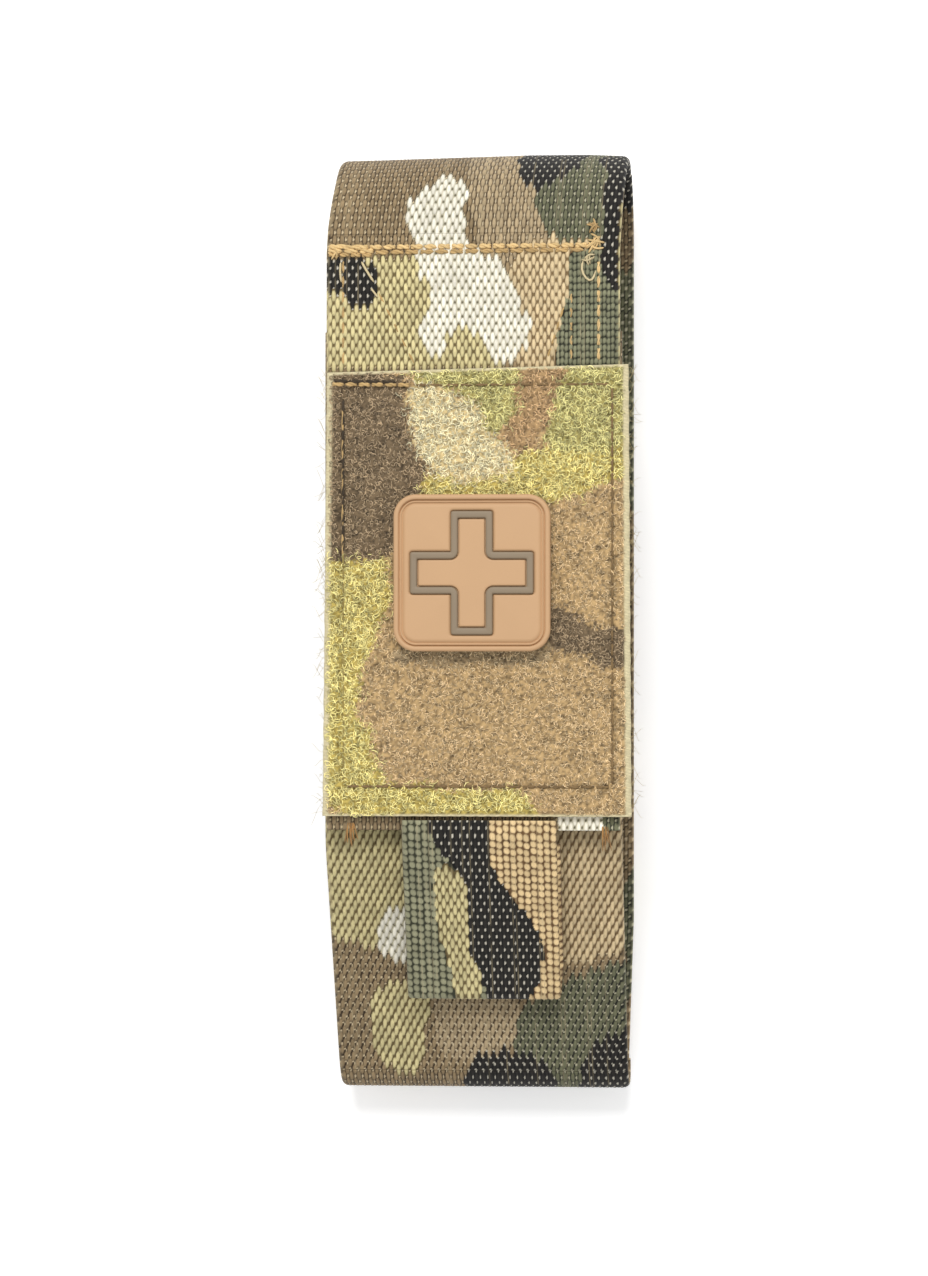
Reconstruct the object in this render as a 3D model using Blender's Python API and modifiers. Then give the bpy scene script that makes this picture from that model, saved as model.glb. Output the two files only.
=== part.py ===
"""A webbing tourniquet pouch, closed and lying on its back, with a folded windlass tourniquet in it.

X runs across the webbing, +Y up to the top fold, and +Z out of the front. Lengths are in metres.
The origin is on the surface that the pouch lies on, under the middle of its outline. One strip of
webbing makes the back panel, the bottom fold, the front panel, the top fold and the flap. The top
fold is cut into short segments, because it rolls flat when the flap is opened.
"""

import math

import bmesh
import bpy
from mathutils import Vector

OBJECT = "tourniquet_pouch"
GAP = 0.0003
MM = 0.001

# Pouch, across and along
LENGTH = 0.163
WEBBING_WIDTH = 0.050
WEBBING = 0.0016
LOOP_FIELD_WIDTH = 0.0515
LOOP_FIELD_Y = (-0.0331, 0.0433)
HEM_Y = -0.0355
HOOK_WIDTH = 0.042
HOOK_Y = (-0.0127, 0.0638)
LOOP_PANEL_WIDTH = 0.048
LOOP_PANEL_Y = (-0.0300, 0.0480)
FRONT_TOP_Y = 0.0500

# Pouch, layer by layer from the ground up
STRAP = 0.0014
STRAP_Z = 0.0009
BACK_Z = 0.0041
LOOP_TAPE = 0.0012
FIELD = 0.0015
FOLD_OUTER = 0.0144
FLAP_TOP = BACK_Z + 2 * FOLD_OUTER
FLAP_Z = FLAP_TOP - WEBBING
HOOK_Z = FLAP_Z - GAP - LOOP_TAPE
LOOP_PANEL_Z = HOOK_Z - GAP - LOOP_TAPE
FRONT_TOP = LOOP_PANEL_Z - GAP
FIELD_Z = FLAP_TOP + GAP
FIELD_TOP = FIELD_Z + FIELD
BACK_INNER = BACK_Z + WEBBING

# Folds
FOLD_Y = LENGTH / 2 - FOLD_OUTER
FOLD_CENTRE_Z = BACK_Z + FOLD_OUTER
FOLD_MIDDLE = FOLD_OUTER - WEBBING / 2
HALF_CUT = math.degrees(GAP / 2 / FOLD_MIDDLE)
HINGES = 3
HINGE_STEP = 180 / HINGES
BOTTOM_FOLD = 0.0040
FRONT_SLOPE = 20
FRONT_BEND = 0.020

# Pull tab
TAB_WIDTH = 0.0265
TAB = 0.0012
TAB_TOP_Y = -0.0338
TAB_END_Y = -0.0640
TAB_SLOPE = 21.5

# Patch
PATCH = 0.0267
PATCH_XY = (-0.0009, 0.0084)
PATCH_CORNER = 0.0038
PATCH_RIM = 0.0011
PATCH_RIM_RISE = 0.0004
PATCH_BASE = 0.0016
PATCH_BACKING = 0.0008
CROSS_OUTER = 0.0210
CROSS_ARM_OUTER = 0.0071
CROSS_INNER = 0.0184
CROSS_ARM_INNER = 0.0044

# Belt strap and snap
STRAP_WIDTH = 0.025
STRAP_HINGE_Y = 0.0420
STRAP_END_Y = -0.0750
SEWN_END_Y = 0.0580
SNAP_Y = -0.0660
SNAP_CAP_R = 0.0070
SNAP_SHANK_R = 0.0014
SNAP_HOLE_R = 0.0017

# Tourniquet
TQ_STRAP_WIDTH = 0.038
TQ_STRAP = 0.0011
TQ_PITCH = 0.0014
TQ_LAYERS = 7
TQ_Y = (-0.0580, 0.0570)
TQ_TIP_Y = 0.0640
KEEPER = 0.0007
KEEPER_Y = -0.0285
KEEPER_WIDTH = 0.0060
TQ_Z = BACK_INNER + GAP + KEEPER + GAP
TQ_TOP = TQ_Z + TQ_STRAP + (TQ_LAYERS - 1) * TQ_PITCH
PLATE = 0.0014
PLATE_WIDTH = 0.036
PLATE_Y = (-0.0230, 0.0600)
PLATE_Z = TQ_TOP + GAP
BAND = 0.0006
BAND_WIDTH = 0.020
BAND_Y = (-0.0160, 0.0440)
BAND_Z = PLATE_Z + PLATE + 0.0002
ROD_R = 0.0033
ROD_TIP_R = 0.0023
ROD_HALF = 0.046
ROD_Y = 0.015
ROD_Z = BAND_Z + BAND + GAP + ROD_R
ROD_SLOT = (0.0015, 0.022)
CLIP_Y = (0.0465, 0.0580)
CLIP_WALL = 0.0009
BUCKLE_Y = (-0.0500, -0.0330)
BUCKLE_WIDTH = 0.046
BUCKLE = 0.0035
BUCKLE_BAR = 0.0036


def clear_scene():
    for ob in list(bpy.data.objects):
        bpy.data.objects.remove(ob, do_unlink=True)


def collection(name):
    made = bpy.data.collections.new(name)
    bpy.context.scene.collection.children.link(made)
    return made


def material(name, colour, roughness, metallic=0.0):
    mat = bpy.data.materials.get(name)
    if mat is None:
        mat = bpy.data.materials.new(name)
        mat.use_nodes = True
        shader = mat.node_tree.nodes["Principled BSDF"]
        shader.inputs["Base Color"].default_value = (*colour, 1)
        shader.inputs["Roughness"].default_value = roughness
        shader.inputs["Metallic"].default_value = metallic
    return mat


def webbing_cloth():
    return material("camouflage_webbing", (0.30, 0.24, 0.13), 0.85)


def printed_loop():
    return material("printed_loop_pile", (0.36, 0.30, 0.14), 0.95)


def tan_tape():
    return material("tan_tape", (0.45, 0.36, 0.22), 0.9)


def patch_rubber():
    return material("tan_moulding", (0.62, 0.36, 0.20), 0.6)


def outline_rubber():
    return material("grey_brown_moulding", (0.27, 0.20, 0.13), 0.6)


def dark_metal():
    return material("blackened_metal", (0.05, 0.045, 0.04), 0.45, 0.9)


def black_strap():
    return material("black_webbing", (0.02, 0.02, 0.022), 0.8)


def black_plastic():
    return material("black_plastic", (0.03, 0.03, 0.032), 0.5)


def orange_tip():
    return material("orange_tip", (0.65, 0.13, 0.03), 0.6)


def add(ob, group, mat):
    """Puts an object in its collection with its material."""
    for holder in list(ob.users_collection):
        holder.objects.unlink(ob)
    group.objects.link(ob)
    ob.data.materials.clear()
    ob.data.materials.append(mat)
    return ob


def arc(centre, radius, start, end, steps):
    """Points round a circle in a plane, from one angle to another in degrees."""
    angles = [math.radians(start + (end - start) * i / steps) for i in range(steps + 1)]
    return [
        (centre[0] + radius * math.cos(a), centre[1] + radius * math.sin(a)) for a in angles
    ]


def extruded(name, outline, depth, group, mat, rotation, location=(0, 0, 0)):
    """A flat outline made into a plate, as a mesh."""
    curve = bpy.data.curves.new(name, "CURVE")
    curve.dimensions = "2D"
    curve.fill_mode = "BOTH"
    curve.extrude = depth / 2
    spline = curve.splines.new("POLY")
    spline.points.add(len(outline) - 1)
    for point, (u, v) in zip(spline.points, outline):
        point.co = (u, v, 0, 1)
    spline.use_cyclic_u = True
    ob = bpy.data.objects.new(name + "_outline", curve)
    bpy.context.scene.collection.objects.link(ob)
    graph = bpy.context.evaluated_depsgraph_get()
    mesh = bpy.data.meshes.new_from_object(ob.evaluated_get(graph))
    bpy.data.objects.remove(ob, do_unlink=True)
    weld(mesh)
    made = bpy.data.objects.new(name, mesh)
    made.rotation_euler = [math.radians(a) for a in rotation]
    made.location = location
    return add(made, group, mat)


def weld(mesh):
    """Closes a curve's loose caps, makes each one a single face and turns every face outwards."""
    work = bmesh.new()
    work.from_mesh(mesh)
    bmesh.ops.remove_doubles(work, verts=work.verts, dist=1e-6)
    bmesh.ops.dissolve_limit(work, angle_limit=0.01, verts=work.verts, edges=work.edges)
    bmesh.ops.recalc_face_normals(work, faces=work.faces)
    work.to_mesh(mesh)
    work.free()


ACROSS = (90, 0, 90)
UPRIGHT = (90, 0, 0)
FLAT = (0, 0, 0)


def offset_side(path, distance):
    """The path moved sideways by a distance, with mitred corners."""
    moved = []
    for i, point in enumerate(path):
        here = Vector(point)
        before = (here - Vector(path[i - 1])).normalized() if i else None
        after = (Vector(path[i + 1]) - here).normalized() if i < len(path) - 1 else None
        before = before or after
        after = after or before
        mitre = (Vector((-before.y, before.x)) + Vector((-after.y, after.x))) / 2
        moved.append(tuple(here + mitre * distance / mitre.length_squared))
    return moved


def ribbon(name, path, thickness, width, group, mat):
    """Webbing that follows a path of (y, z) points, as wide as it is across X."""
    left = offset_side(path, thickness / 2)
    right = offset_side(path, -thickness / 2)
    return extruded(name, left + right[::-1], width, group, mat, ACROSS)


def box(name, x, y, z, group, mat):
    """A plain block between two limits on each axis."""
    mesh = bpy.data.meshes.new(name)
    work = bmesh.new()
    bmesh.ops.create_cube(work, size=1)
    size = Vector((x[1] - x[0], y[1] - y[0], z[1] - z[0]))
    bmesh.ops.scale(work, verts=work.verts, vec=size)
    work.to_mesh(mesh)
    work.free()
    ob = bpy.data.objects.new(name, mesh)
    ob.location = ((x[0] + x[1]) / 2, (y[0] + y[1]) / 2, (z[0] + z[1]) / 2)
    return add(ob, group, mat)


def centred_box(name, width, y, z, group, mat):
    return box(name, (-width / 2, width / 2), y, z, group, mat)


def turned(name, profile, location, group, mat, rotation=FLAT, steps=32):
    """A turned shape, from a profile of (radius, height) points that runs from top to bottom.

    A profile that ends where it started makes a ring.
    """
    mesh = bpy.data.meshes.new(name)
    ring = profile[0] == profile[-1]
    points = [(r, 0, z) for r, z in profile[: -1 if ring else None]]
    edges = [(i, i + 1) for i in range(len(points) - 1)]
    if ring:
        edges.append((len(points) - 1, 0))
    mesh.from_pydata(points, edges, [])
    ob = bpy.data.objects.new(name, mesh)
    ob.location = location
    ob.rotation_euler = [math.radians(a) for a in rotation]
    screw = ob.modifiers.new("turn", "SCREW")
    screw.steps = steps
    screw.render_steps = steps
    screw.use_merge_vertices = True
    screw.merge_threshold = 1e-6
    screw.use_smooth_shade = False
    return add(ob, group, mat)


def combine(ob, other, operation):
    """Joins or cuts one object with another, which stays as a wire guide."""
    other.hide_render = True
    other.display_type = "WIRE"
    boolean = ob.modifiers.new(operation.lower() + "_" + other.name, "BOOLEAN")
    boolean.operation = operation
    boolean.solver = "EXACT"
    boolean.object = other


def cut(ob, cutter):
    combine(ob, cutter, "DIFFERENCE")


def join(ob, other):
    combine(ob, other, "UNION")


def drill(ob, radius, y, z, guides):
    """A round hole along Z through an object."""
    top = z[1] - z[0]
    profile = [(0, top), (radius, top), (radius, 0), (0, 0)]
    cutter = turned(ob.name + "_hole", profile, (0, y, z[0]), guides, tan_tape(), steps=24)
    cut(ob, cutter)


def square(side, corner, centre=(0, 0), steps=5):
    """A square outline with round corners."""
    reach = side / 2 - corner
    outline = []
    for quarter, (sx, sy) in enumerate(((1, 1), (-1, 1), (-1, -1), (1, -1))):
        middle = (centre[0] + sx * reach, centre[1] + sy * reach)
        outline += arc(middle, corner, 90 * quarter, 90 * quarter + 90, steps)
    return outline


def plus(name, size, arm, place, height, group, mat, guides):
    """A plus-shaped block standing on a place: one bar with a second one joined across it."""
    x, y, z = place
    limits = (z, z + height)
    near, far = arm / 2, size / 2
    bar = box(name, (x - far, x + far), (y - near, y + near), limits, group, mat)
    across = box(name + "_bar", (x - near, x + near), (y - far, y + far), limits, guides, mat)
    join(bar, across)
    return bar


def hinge_angle(k):
    """The angle round the top fold at which hinge line k lies, counted from 1."""
    return -90 + HINGE_STEP * (k - 0.5)


def fold_arc(start, end):
    """The webbing's middle line round part of the top fold, held back from each cut."""
    steps = max(2, round(abs(end - start) / 6))
    return arc((FOLD_Y, FOLD_CENTRE_Z), FOLD_MIDDLE, start + HALF_CUT, end - HALF_CUT, steps)


def front_path():
    """The front panel's middle line, from the bottom fold up the slope to its top edge."""
    middle_z = BACK_Z + WEBBING / 2
    centre = (-LENGTH / 2 + BOTTOM_FOLD + WEBBING / 2, middle_z + BOTTOM_FOLD)
    fold = arc(centre, BOTTOM_FOLD, 270, 90 + FRONT_SLOPE, 10)
    top_z = FRONT_TOP - WEBBING / 2
    rise = top_z - fold[-1][1]
    corner_y = fold[-1][0] + rise / math.tan(math.radians(FRONT_SLOPE))
    run = FRONT_BEND * math.tan(math.radians(FRONT_SLOPE / 2))
    bend_centre = (corner_y + run, top_z - FRONT_BEND)
    bend = arc(bend_centre, FRONT_BEND, 90 + FRONT_SLOPE, 90, 4)
    return fold + bend + [(FRONT_TOP_Y, top_z)]


def body_webbing(group, guides):
    start = arc((FOLD_Y, FOLD_CENTRE_Z), FOLD_MIDDLE, hinge_angle(1) - HALF_CUT, -90, 3)
    strip = ribbon(
        "body_webbing", start + front_path(), WEBBING, WEBBING_WIDTH, group, webbing_cloth()
    )
    drill(strip, SNAP_HOLE_R, SNAP_Y, (BACK_Z - MM, BACK_INNER + MM), guides)


def top_fold(group):
    for k in range(1, HINGES):
        path = fold_arc(hinge_angle(k), hinge_angle(k + 1))
        ribbon(f"fold_{k}", path, WEBBING, WEBBING_WIDTH, group, webbing_cloth())


def flap(group):
    middle_z = FLAP_TOP - WEBBING / 2
    start = arc((FOLD_Y, FOLD_CENTRE_Z), FOLD_MIDDLE, hinge_angle(HINGES) + HALF_CUT, 90, 3)
    path = start + [(HEM_Y, middle_z)]
    ribbon("flap_webbing", path, WEBBING, WEBBING_WIDTH, group, webbing_cloth())
    centred_box(
        "flap_hook_panel", HOOK_WIDTH, HOOK_Y, (HOOK_Z, HOOK_Z + LOOP_TAPE), group, tan_tape()
    )
    centred_box(
        "flap_loop_field", LOOP_FIELD_WIDTH, LOOP_FIELD_Y, (FIELD_Z, FIELD_TOP), group, printed_loop()
    )


def front_loop_panel(group):
    height = (LOOP_PANEL_Z, LOOP_PANEL_Z + LOOP_TAPE)
    centred_box("front_loop_panel", LOOP_PANEL_WIDTH, LOOP_PANEL_Y, height, group, tan_tape())


def pull_tab(group):
    """A strip folded back on itself, from the loop field's lower edge down over the front."""
    pitch = TAB + GAP
    top_z = FLAP_TOP + GAP + TAB / 2
    knee_y = TAB_TOP_Y - 0.0027
    slope = math.radians(TAB_SLOPE)
    end_z = top_z - (knee_y - TAB_END_Y) * math.tan(slope)
    centre = (TAB_END_Y + math.sin(slope) * pitch / 2, end_z - math.cos(slope) * pitch / 2)
    turn = arc(centre, pitch / 2, 90 + TAB_SLOPE, 270 + TAB_SLOPE, 6)
    back_run = (TAB_END_Y - knee_y + 0.0020) / math.cos(slope)
    last = turn[-1]
    end = (last[0] - back_run * math.cos(slope), last[1] - back_run * math.sin(slope))
    path = [(TAB_TOP_Y, top_z), (knee_y, top_z)] + turn + [end]
    ribbon("pull_tab", path, TAB, TAB_WIDTH, group, webbing_cloth())


def patch(group, guides):
    """A square moulded patch with a raised rim, a cross set into it and a hook backing."""
    x, y = PATCH_XY
    backing_z = FIELD_TOP + GAP
    base_z = backing_z + PATCH_BACKING + GAP
    rim_top = base_z + PATCH_BASE + PATCH_RIM_RISE
    field_z = base_z + PATCH_BASE
    pocket_z = field_z - 0.0008
    extruded(
        "patch_hook_backing",
        square(PATCH - 0.0016, PATCH_CORNER - 0.0008),
        PATCH_BACKING,
        group,
        tan_tape(),
        FLAT,
        (x, y, backing_z + PATCH_BACKING / 2),
    )
    depth = rim_top - base_z
    base = extruded(
        "patch_base",
        square(PATCH, PATCH_CORNER),
        depth,
        group,
        patch_rubber(),
        FLAT,
        (x, y, base_z + depth / 2),
    )
    well = square(PATCH - 2 * PATCH_RIM, PATCH_CORNER - PATCH_RIM)
    rise = PATCH_RIM_RISE + MM
    place = (x, y, field_z + rise / 2)
    cut(base, extruded("patch_well", well, rise, guides, patch_rubber(), FLAT, place))
    sunk = 2 * MM
    place = (x, y, pocket_z)
    outline, rubber = outline_rubber(), patch_rubber()
    pocket = plus("patch_pocket", CROSS_OUTER, CROSS_ARM_OUTER, place, sunk, guides, rubber, guides)
    cut(base, pocket)
    inlay_z = pocket_z + GAP
    inlay = field_z + 0.0002 - inlay_z
    slack = 0.0002
    place = (x, y, inlay_z)
    size, arm = CROSS_OUTER - slack, CROSS_ARM_OUTER - slack
    ring = plus("patch_cross_outline", size, arm, place, inlay, group, outline, guides)
    size, arm = CROSS_INNER - slack, CROSS_ARM_INNER - slack
    plus("patch_cross_fill", size, arm, place, inlay, group, rubber, guides)
    size, arm = CROSS_INNER + slack, CROSS_ARM_INNER + slack
    place = (x, y, inlay_z - MM)
    cut(ring, plus("outline_hole", size, arm, place, inlay + 2 * MM, guides, outline, guides))


def belt_strap(group, guides):
    """The back strap, with a sewn end above its hinge line and a snap at its lower end."""
    free_y = (STRAP_END_Y, STRAP_HINGE_Y - GAP / 2)
    height = (STRAP_Z, STRAP_Z + STRAP)
    strap = centred_box("belt_strap", STRAP_WIDTH, free_y, height, group, tan_tape())
    drill(strap, SNAP_HOLE_R, SNAP_Y, (STRAP_Z - MM, STRAP_Z + STRAP + MM), guides)
    tape = 0.0013
    low_z = STRAP_Z + tape / 2
    high_z = BACK_Z - 0.0001 - tape / 2
    radius = (high_z - low_z) / 2
    turn = arc((SEWN_END_Y - radius - tape / 2, low_z + radius), radius, -90, 90, 6)
    path = [(STRAP_HINGE_Y + GAP / 2, low_z)] + turn + [(STRAP_HINGE_Y + 0.002, high_z)]
    ribbon("belt_strap_sewn_end", path, tape, STRAP_WIDTH, group, tan_tape())


def snap(group):
    """The two halves of the snap: cap and socket on the strap, stud and post on the back panel."""
    metal = dark_metal()
    shank = SNAP_SHANK_R
    dome = STRAP_Z - 0.0001
    shank_top = STRAP_Z + STRAP - 0.0001
    cap = [(0, shank_top), (shank, shank_top), (shank, dome), (SNAP_CAP_R, dome)]
    cap += [(SNAP_CAP_R, dome * 0.5), (SNAP_CAP_R * 0.8, 0), (0, 0)]
    turned("snap_cap", cap, (0, SNAP_Y, 0), group, metal)
    socket_z = STRAP_Z + STRAP + 0.0002
    socket = [(0.0024, 0.0007), (0.0055, 0.0007), (0.0055, 0), (0.0024, 0), (0.0024, 0.0007)]
    turned("snap_socket", socket, (0, SNAP_Y, socket_z), group, metal)
    flange_top = BACK_Z - 0.0002
    flange = flange_top - 0.0004
    nub = socket_z + 0.0001
    stud = [(0, flange_top), (0.005, flange_top), (0.005, flange), (0.0019, flange)]
    stud += [(0.0019, nub + 0.0003), (0.0014, nub), (0, nub)]
    turned("snap_stud", stud, (0, SNAP_Y, 0), group, metal)
    top = BACK_INNER + GAP + 0.0006
    under = BACK_INNER + GAP
    post = [(0, top), (0.005, top), (0.0055, under), (shank, under), (shank, BACK_Z), (0, BACK_Z)]
    turned("snap_post", post, (0, SNAP_Y, 0), group, metal)


def folded_strap(group):
    """The tourniquet's strap, laid back and forth in layers, from the buckle down to its tip."""
    radius = TQ_PITCH / 2
    ends = TQ_Y[0] + radius + TQ_STRAP / 2, TQ_Y[1] - radius - TQ_STRAP / 2
    top_z = TQ_TOP - TQ_STRAP / 2
    path = [(BUCKLE_Y[0] + 0.002, top_z)]
    for layer in range(TQ_LAYERS - 1):
        centre_z = top_z - TQ_PITCH * (layer + 0.5)
        turns = (90, -90) if layer % 2 == 0 else (90, 270)
        middle = (ends[1] if layer % 2 == 0 else ends[0], centre_z)
        path += arc(middle, radius, *turns, 5)
    path.append((TQ_Y[1], TQ_Z + TQ_STRAP / 2))
    ribbon("tq_strap", path, TQ_STRAP, TQ_STRAP_WIDTH, group, black_strap())
    tip_y = (TQ_Y[1] + GAP, TQ_TIP_Y)
    tip_z = (TQ_Z, TQ_Z + 0.0016)
    centred_box("tq_strap_tip", TQ_STRAP_WIDTH - 0.002, tip_y, tip_z, group, orange_tip())


def keeper_band(group, guides):
    """A flat elastic band round the folded layers."""
    inner = TQ_STRAP_WIDTH / 2 + GAP
    outer = inner + KEEPER
    y = (KEEPER_Y - KEEPER_WIDTH / 2, KEEPER_Y + KEEPER_WIDTH / 2)
    z = (TQ_Z - GAP, TQ_TOP + GAP)
    limits = (z[0] - KEEPER, z[1] + KEEPER)
    band = box("tq_keeper_band", (-outer, outer), y, limits, group, black_strap())
    wide = (y[0] - MM, y[1] + MM)
    cut(band, box("keeper_hole", (-inner, inner), wide, z, guides, black_strap()))


def plate(group):
    height = (PLATE_Z, PLATE_Z + PLATE)
    base = centred_box("tq_plate", PLATE_WIDTH, PLATE_Y, height, group, black_plastic())
    round_off = base.modifiers.new("round", "BEVEL")
    round_off.width = 0.0005
    round_off.segments = 2
    height = (BAND_Z, BAND_Z + BAND)
    centred_box("tq_tension_band", BAND_WIDTH, BAND_Y, height, group, black_strap())


def windlass(group, guides):
    """The rod, thin at both tips and slotted in the middle, and the band that the slot holds."""
    shoulder = 0.030
    profile = [(0, ROD_HALF), (ROD_TIP_R - 0.0006, ROD_HALF), (ROD_TIP_R, ROD_HALF - 0.0006)]
    profile += [(ROD_TIP_R, shoulder), (ROD_R, shoulder - 0.0015)]
    profile += [(r, -s) for r, s in reversed(profile)]
    place = (0, ROD_Y, ROD_Z)
    rod = turned("windlass_rod", profile, place, group, black_plastic(), (-90, 0, 0), 24)
    half_slot = ROD_SLOT[0] / 2
    y = (ROD_Y - ROD_SLOT[1] / 2, ROD_Y + ROD_SLOT[1] / 2)
    z = (ROD_Z - 2 * ROD_R, ROD_Z + 2 * ROD_R)
    cut(rod, box("rod_slot", (-half_slot, half_slot), y, z, guides, black_plastic()))
    inside = half_slot - GAP
    y = (y[0] + GAP, y[1] - GAP)
    z = (ROD_Z - ROD_R, ROD_Z + ROD_R)
    box("windlass_band", (-inside, inside), y, z, group, black_strap())


def windlass_clip(group):
    """A hook with its mouth towards +X, over the rod's upper tip."""
    foot_z = PLATE_Z + PLATE + GAP
    inner = ROD_TIP_R + GAP
    outer = inner + CLIP_WALL
    centre = (0, ROD_Z)
    foot_top = ROD_Z - inner
    lip = 0.0008
    outline = [(-0.006, foot_z), (0.006, foot_z), (0.006, foot_top)]
    outline += arc(centre, inner, 270, 90, 12)
    outline += [(lip, ROD_Z + inner), (lip, ROD_Z + outer)]
    outline += arc(centre, outer, 90, 190, 8)
    outline += [(-0.0045, foot_top), (-0.006, foot_top)]
    depth = CLIP_Y[1] - CLIP_Y[0]
    place = (0, (CLIP_Y[0] + CLIP_Y[1]) / 2, 0)
    extruded("windlass_clip", outline, depth, group, black_plastic(), UPRIGHT, place)


def buckle(group, guides):
    """A flat frame with a middle bar, which the strap threads through."""
    z = (TQ_TOP + GAP, TQ_TOP + GAP + BUCKLE)
    frame = centred_box("tq_buckle", BUCKLE_WIDTH, BUCKLE_Y, z, group, black_plastic())
    half = BUCKLE_WIDTH / 2 - BUCKLE_BAR
    middle = (BUCKLE_Y[0] + BUCKLE_Y[1]) / 2
    through = (z[0] - MM, z[1] + MM)
    windows = (
        (BUCKLE_Y[0] + BUCKLE_BAR, middle - BUCKLE_BAR / 2),
        (middle + BUCKLE_BAR / 2, BUCKLE_Y[1] - BUCKLE_BAR),
    )
    for number, y in enumerate(windows, 1):
        window = box(f"buckle_window_{number}", (-half, half), y, through, guides, black_plastic())
        cut(frame, window)


def build():
    clear_scene()
    group = collection(OBJECT)
    guides = collection("cutters")
    body_webbing(group, guides)
    top_fold(group)
    flap(group)
    front_loop_panel(group)
    pull_tab(group)
    patch(group, guides)
    belt_strap(group, guides)
    snap(group)
    folded_strap(group)
    keeper_band(group, guides)
    plate(group)
    windlass(group, guides)
    windlass_clip(group)
    buckle(group, guides)


build()
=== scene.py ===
import math

import bmesh
import bpy
import numpy as np
from mathutils import Matrix, Vector


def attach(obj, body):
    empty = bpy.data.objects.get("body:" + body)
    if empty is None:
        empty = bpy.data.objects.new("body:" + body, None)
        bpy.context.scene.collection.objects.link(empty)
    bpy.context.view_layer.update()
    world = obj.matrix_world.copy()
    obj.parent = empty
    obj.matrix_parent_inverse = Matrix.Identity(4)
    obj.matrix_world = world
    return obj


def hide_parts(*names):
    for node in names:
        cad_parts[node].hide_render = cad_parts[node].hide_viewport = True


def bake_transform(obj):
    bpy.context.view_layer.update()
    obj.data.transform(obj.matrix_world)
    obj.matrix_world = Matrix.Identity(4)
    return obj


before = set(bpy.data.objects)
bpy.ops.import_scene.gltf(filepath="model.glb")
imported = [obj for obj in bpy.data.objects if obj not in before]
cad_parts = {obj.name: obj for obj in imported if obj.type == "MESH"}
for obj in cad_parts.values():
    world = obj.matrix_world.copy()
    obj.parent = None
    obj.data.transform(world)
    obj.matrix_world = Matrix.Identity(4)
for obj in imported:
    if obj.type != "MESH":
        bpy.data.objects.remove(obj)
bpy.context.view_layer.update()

MM = 0.001
PI = math.pi

# ---- colours ----


STUDIO_LIGHT = 1.27


def linear(r, g, b):
    """A surface's linear colour, from its display colour, 0 to 255, under the studio's light."""
    c = np.array([r, g, b], float) / 255
    return np.where(c <= 0.04045, c / 12.92, ((c + 0.055) / 1.055) ** 2.4) / STUDIO_LIGHT


# Camouflage webbing: float yarn, gap between floats (yarn below, darkened as painted shade), binding
# yarn spot, and kind of float:
# 0 plain, 1 wide beads, 2 with tie spots, 3 small beads
TAUPE, KHAKI, TAN, CREAM, GREEN, BLACK, BROWN, SAGE, BEAD, FAWN, RIBBED = range(11)
YARNS = [
    ((156, 134, 100), (56, 42, 26), (230, 208, 168), 2),
    ((222, 208, 154), (104, 88, 54), (112, 96, 60), 0),
    ((226, 202, 158), (108, 84, 54), (130, 106, 70), 0),
    ((252, 246, 228), (194, 186, 158), (104, 98, 76), 0),
    ((114, 114, 87), (24, 26, 18), (208, 202, 170), 2),
    ((38, 35, 31), (8, 7, 6), (220, 213, 195), 2),
    ((140, 120, 90), (50, 39, 26), (206, 186, 146), 2),
    ((156, 154, 124), (56, 57, 40), (64, 66, 48), 1),
    ((238, 208, 156), (104, 76, 46), (106, 80, 50), 1),
    ((188, 166, 130), (74, 57, 37), (238, 218, 180), 2),
    ((136, 136, 108), (38, 40, 28), (196, 192, 160), 3),
]
FLOATS, SHADED_GAPS, TIES = (np.array([linear(*yarn[i]) for yarn in YARNS]) for i in range(3))
BEADED = np.array([yarn[3] for yarn in YARNS])


# ---- noise and shapes ----


def unit(a):
    """Cut off below 0 and above 1."""
    return np.clip(a, 0, 1)


def hashed(a, b, seed=0.0):
    """A repeatable number from 0 to 1 for each pair."""
    return np.modf(np.abs(np.sin(a * 12.9898 + b * 78.233 + seed * 37.719) * 43758.5453))[0]


def noise(x, y, cell, seed=0.0):
    """Smooth noise from 0 to 1 with features about one cell across."""
    x, y = x / cell, y / cell
    i, j = np.floor(x), np.floor(y)
    s, t = x - i, y - j
    s, t = s * s * (3 - 2 * s), t * t * (3 - 2 * t)
    low = hashed(i, j, seed) * (1 - s) + hashed(i + 1, j, seed) * s
    high = hashed(i, j + 1, seed) * (1 - s) + hashed(i + 1, j + 1, seed) * s
    return low * (1 - t) + high * t


def blob(kind, *points, cuts=2):
    """A colour and the closed outline that it fills, with its corners cut off, cuts times over."""
    points = np.array(points, float)
    near, far = 0.22, 0.78
    for _ in range(cuts):
        after = np.roll(points, -1, axis=0)
        points = np.stack([points * far + after * near, points * near + after * far], 1)
        points = points.reshape(-1, 2)
    return kind, points


def inside(outline, x, y):
    """Whether each point lies in a closed outline."""
    hit = np.zeros(np.shape(x), bool)
    for (x0, y0), (x1, y1) in zip(outline, np.roll(outline, -1, axis=0)):
        if y0 == y1:
            continue
        crosses = (y0 > y) != (y1 > y)
        hit ^= crosses & (x < (x1 - x0) * (y - y0) / (y1 - y0) + x0)
    return hit


def painted(x, y, ground, shapes):
    """The region number at each point: later shapes lie over earlier ones."""
    region = np.full(np.shape(x), ground)
    for kind, outline in shapes:
        region[inside(outline, x, y)] = kind
    return region


# ---- camouflage ----
# Outlines are in mm: across the webbing, and along the flap or up the front panel.

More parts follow.
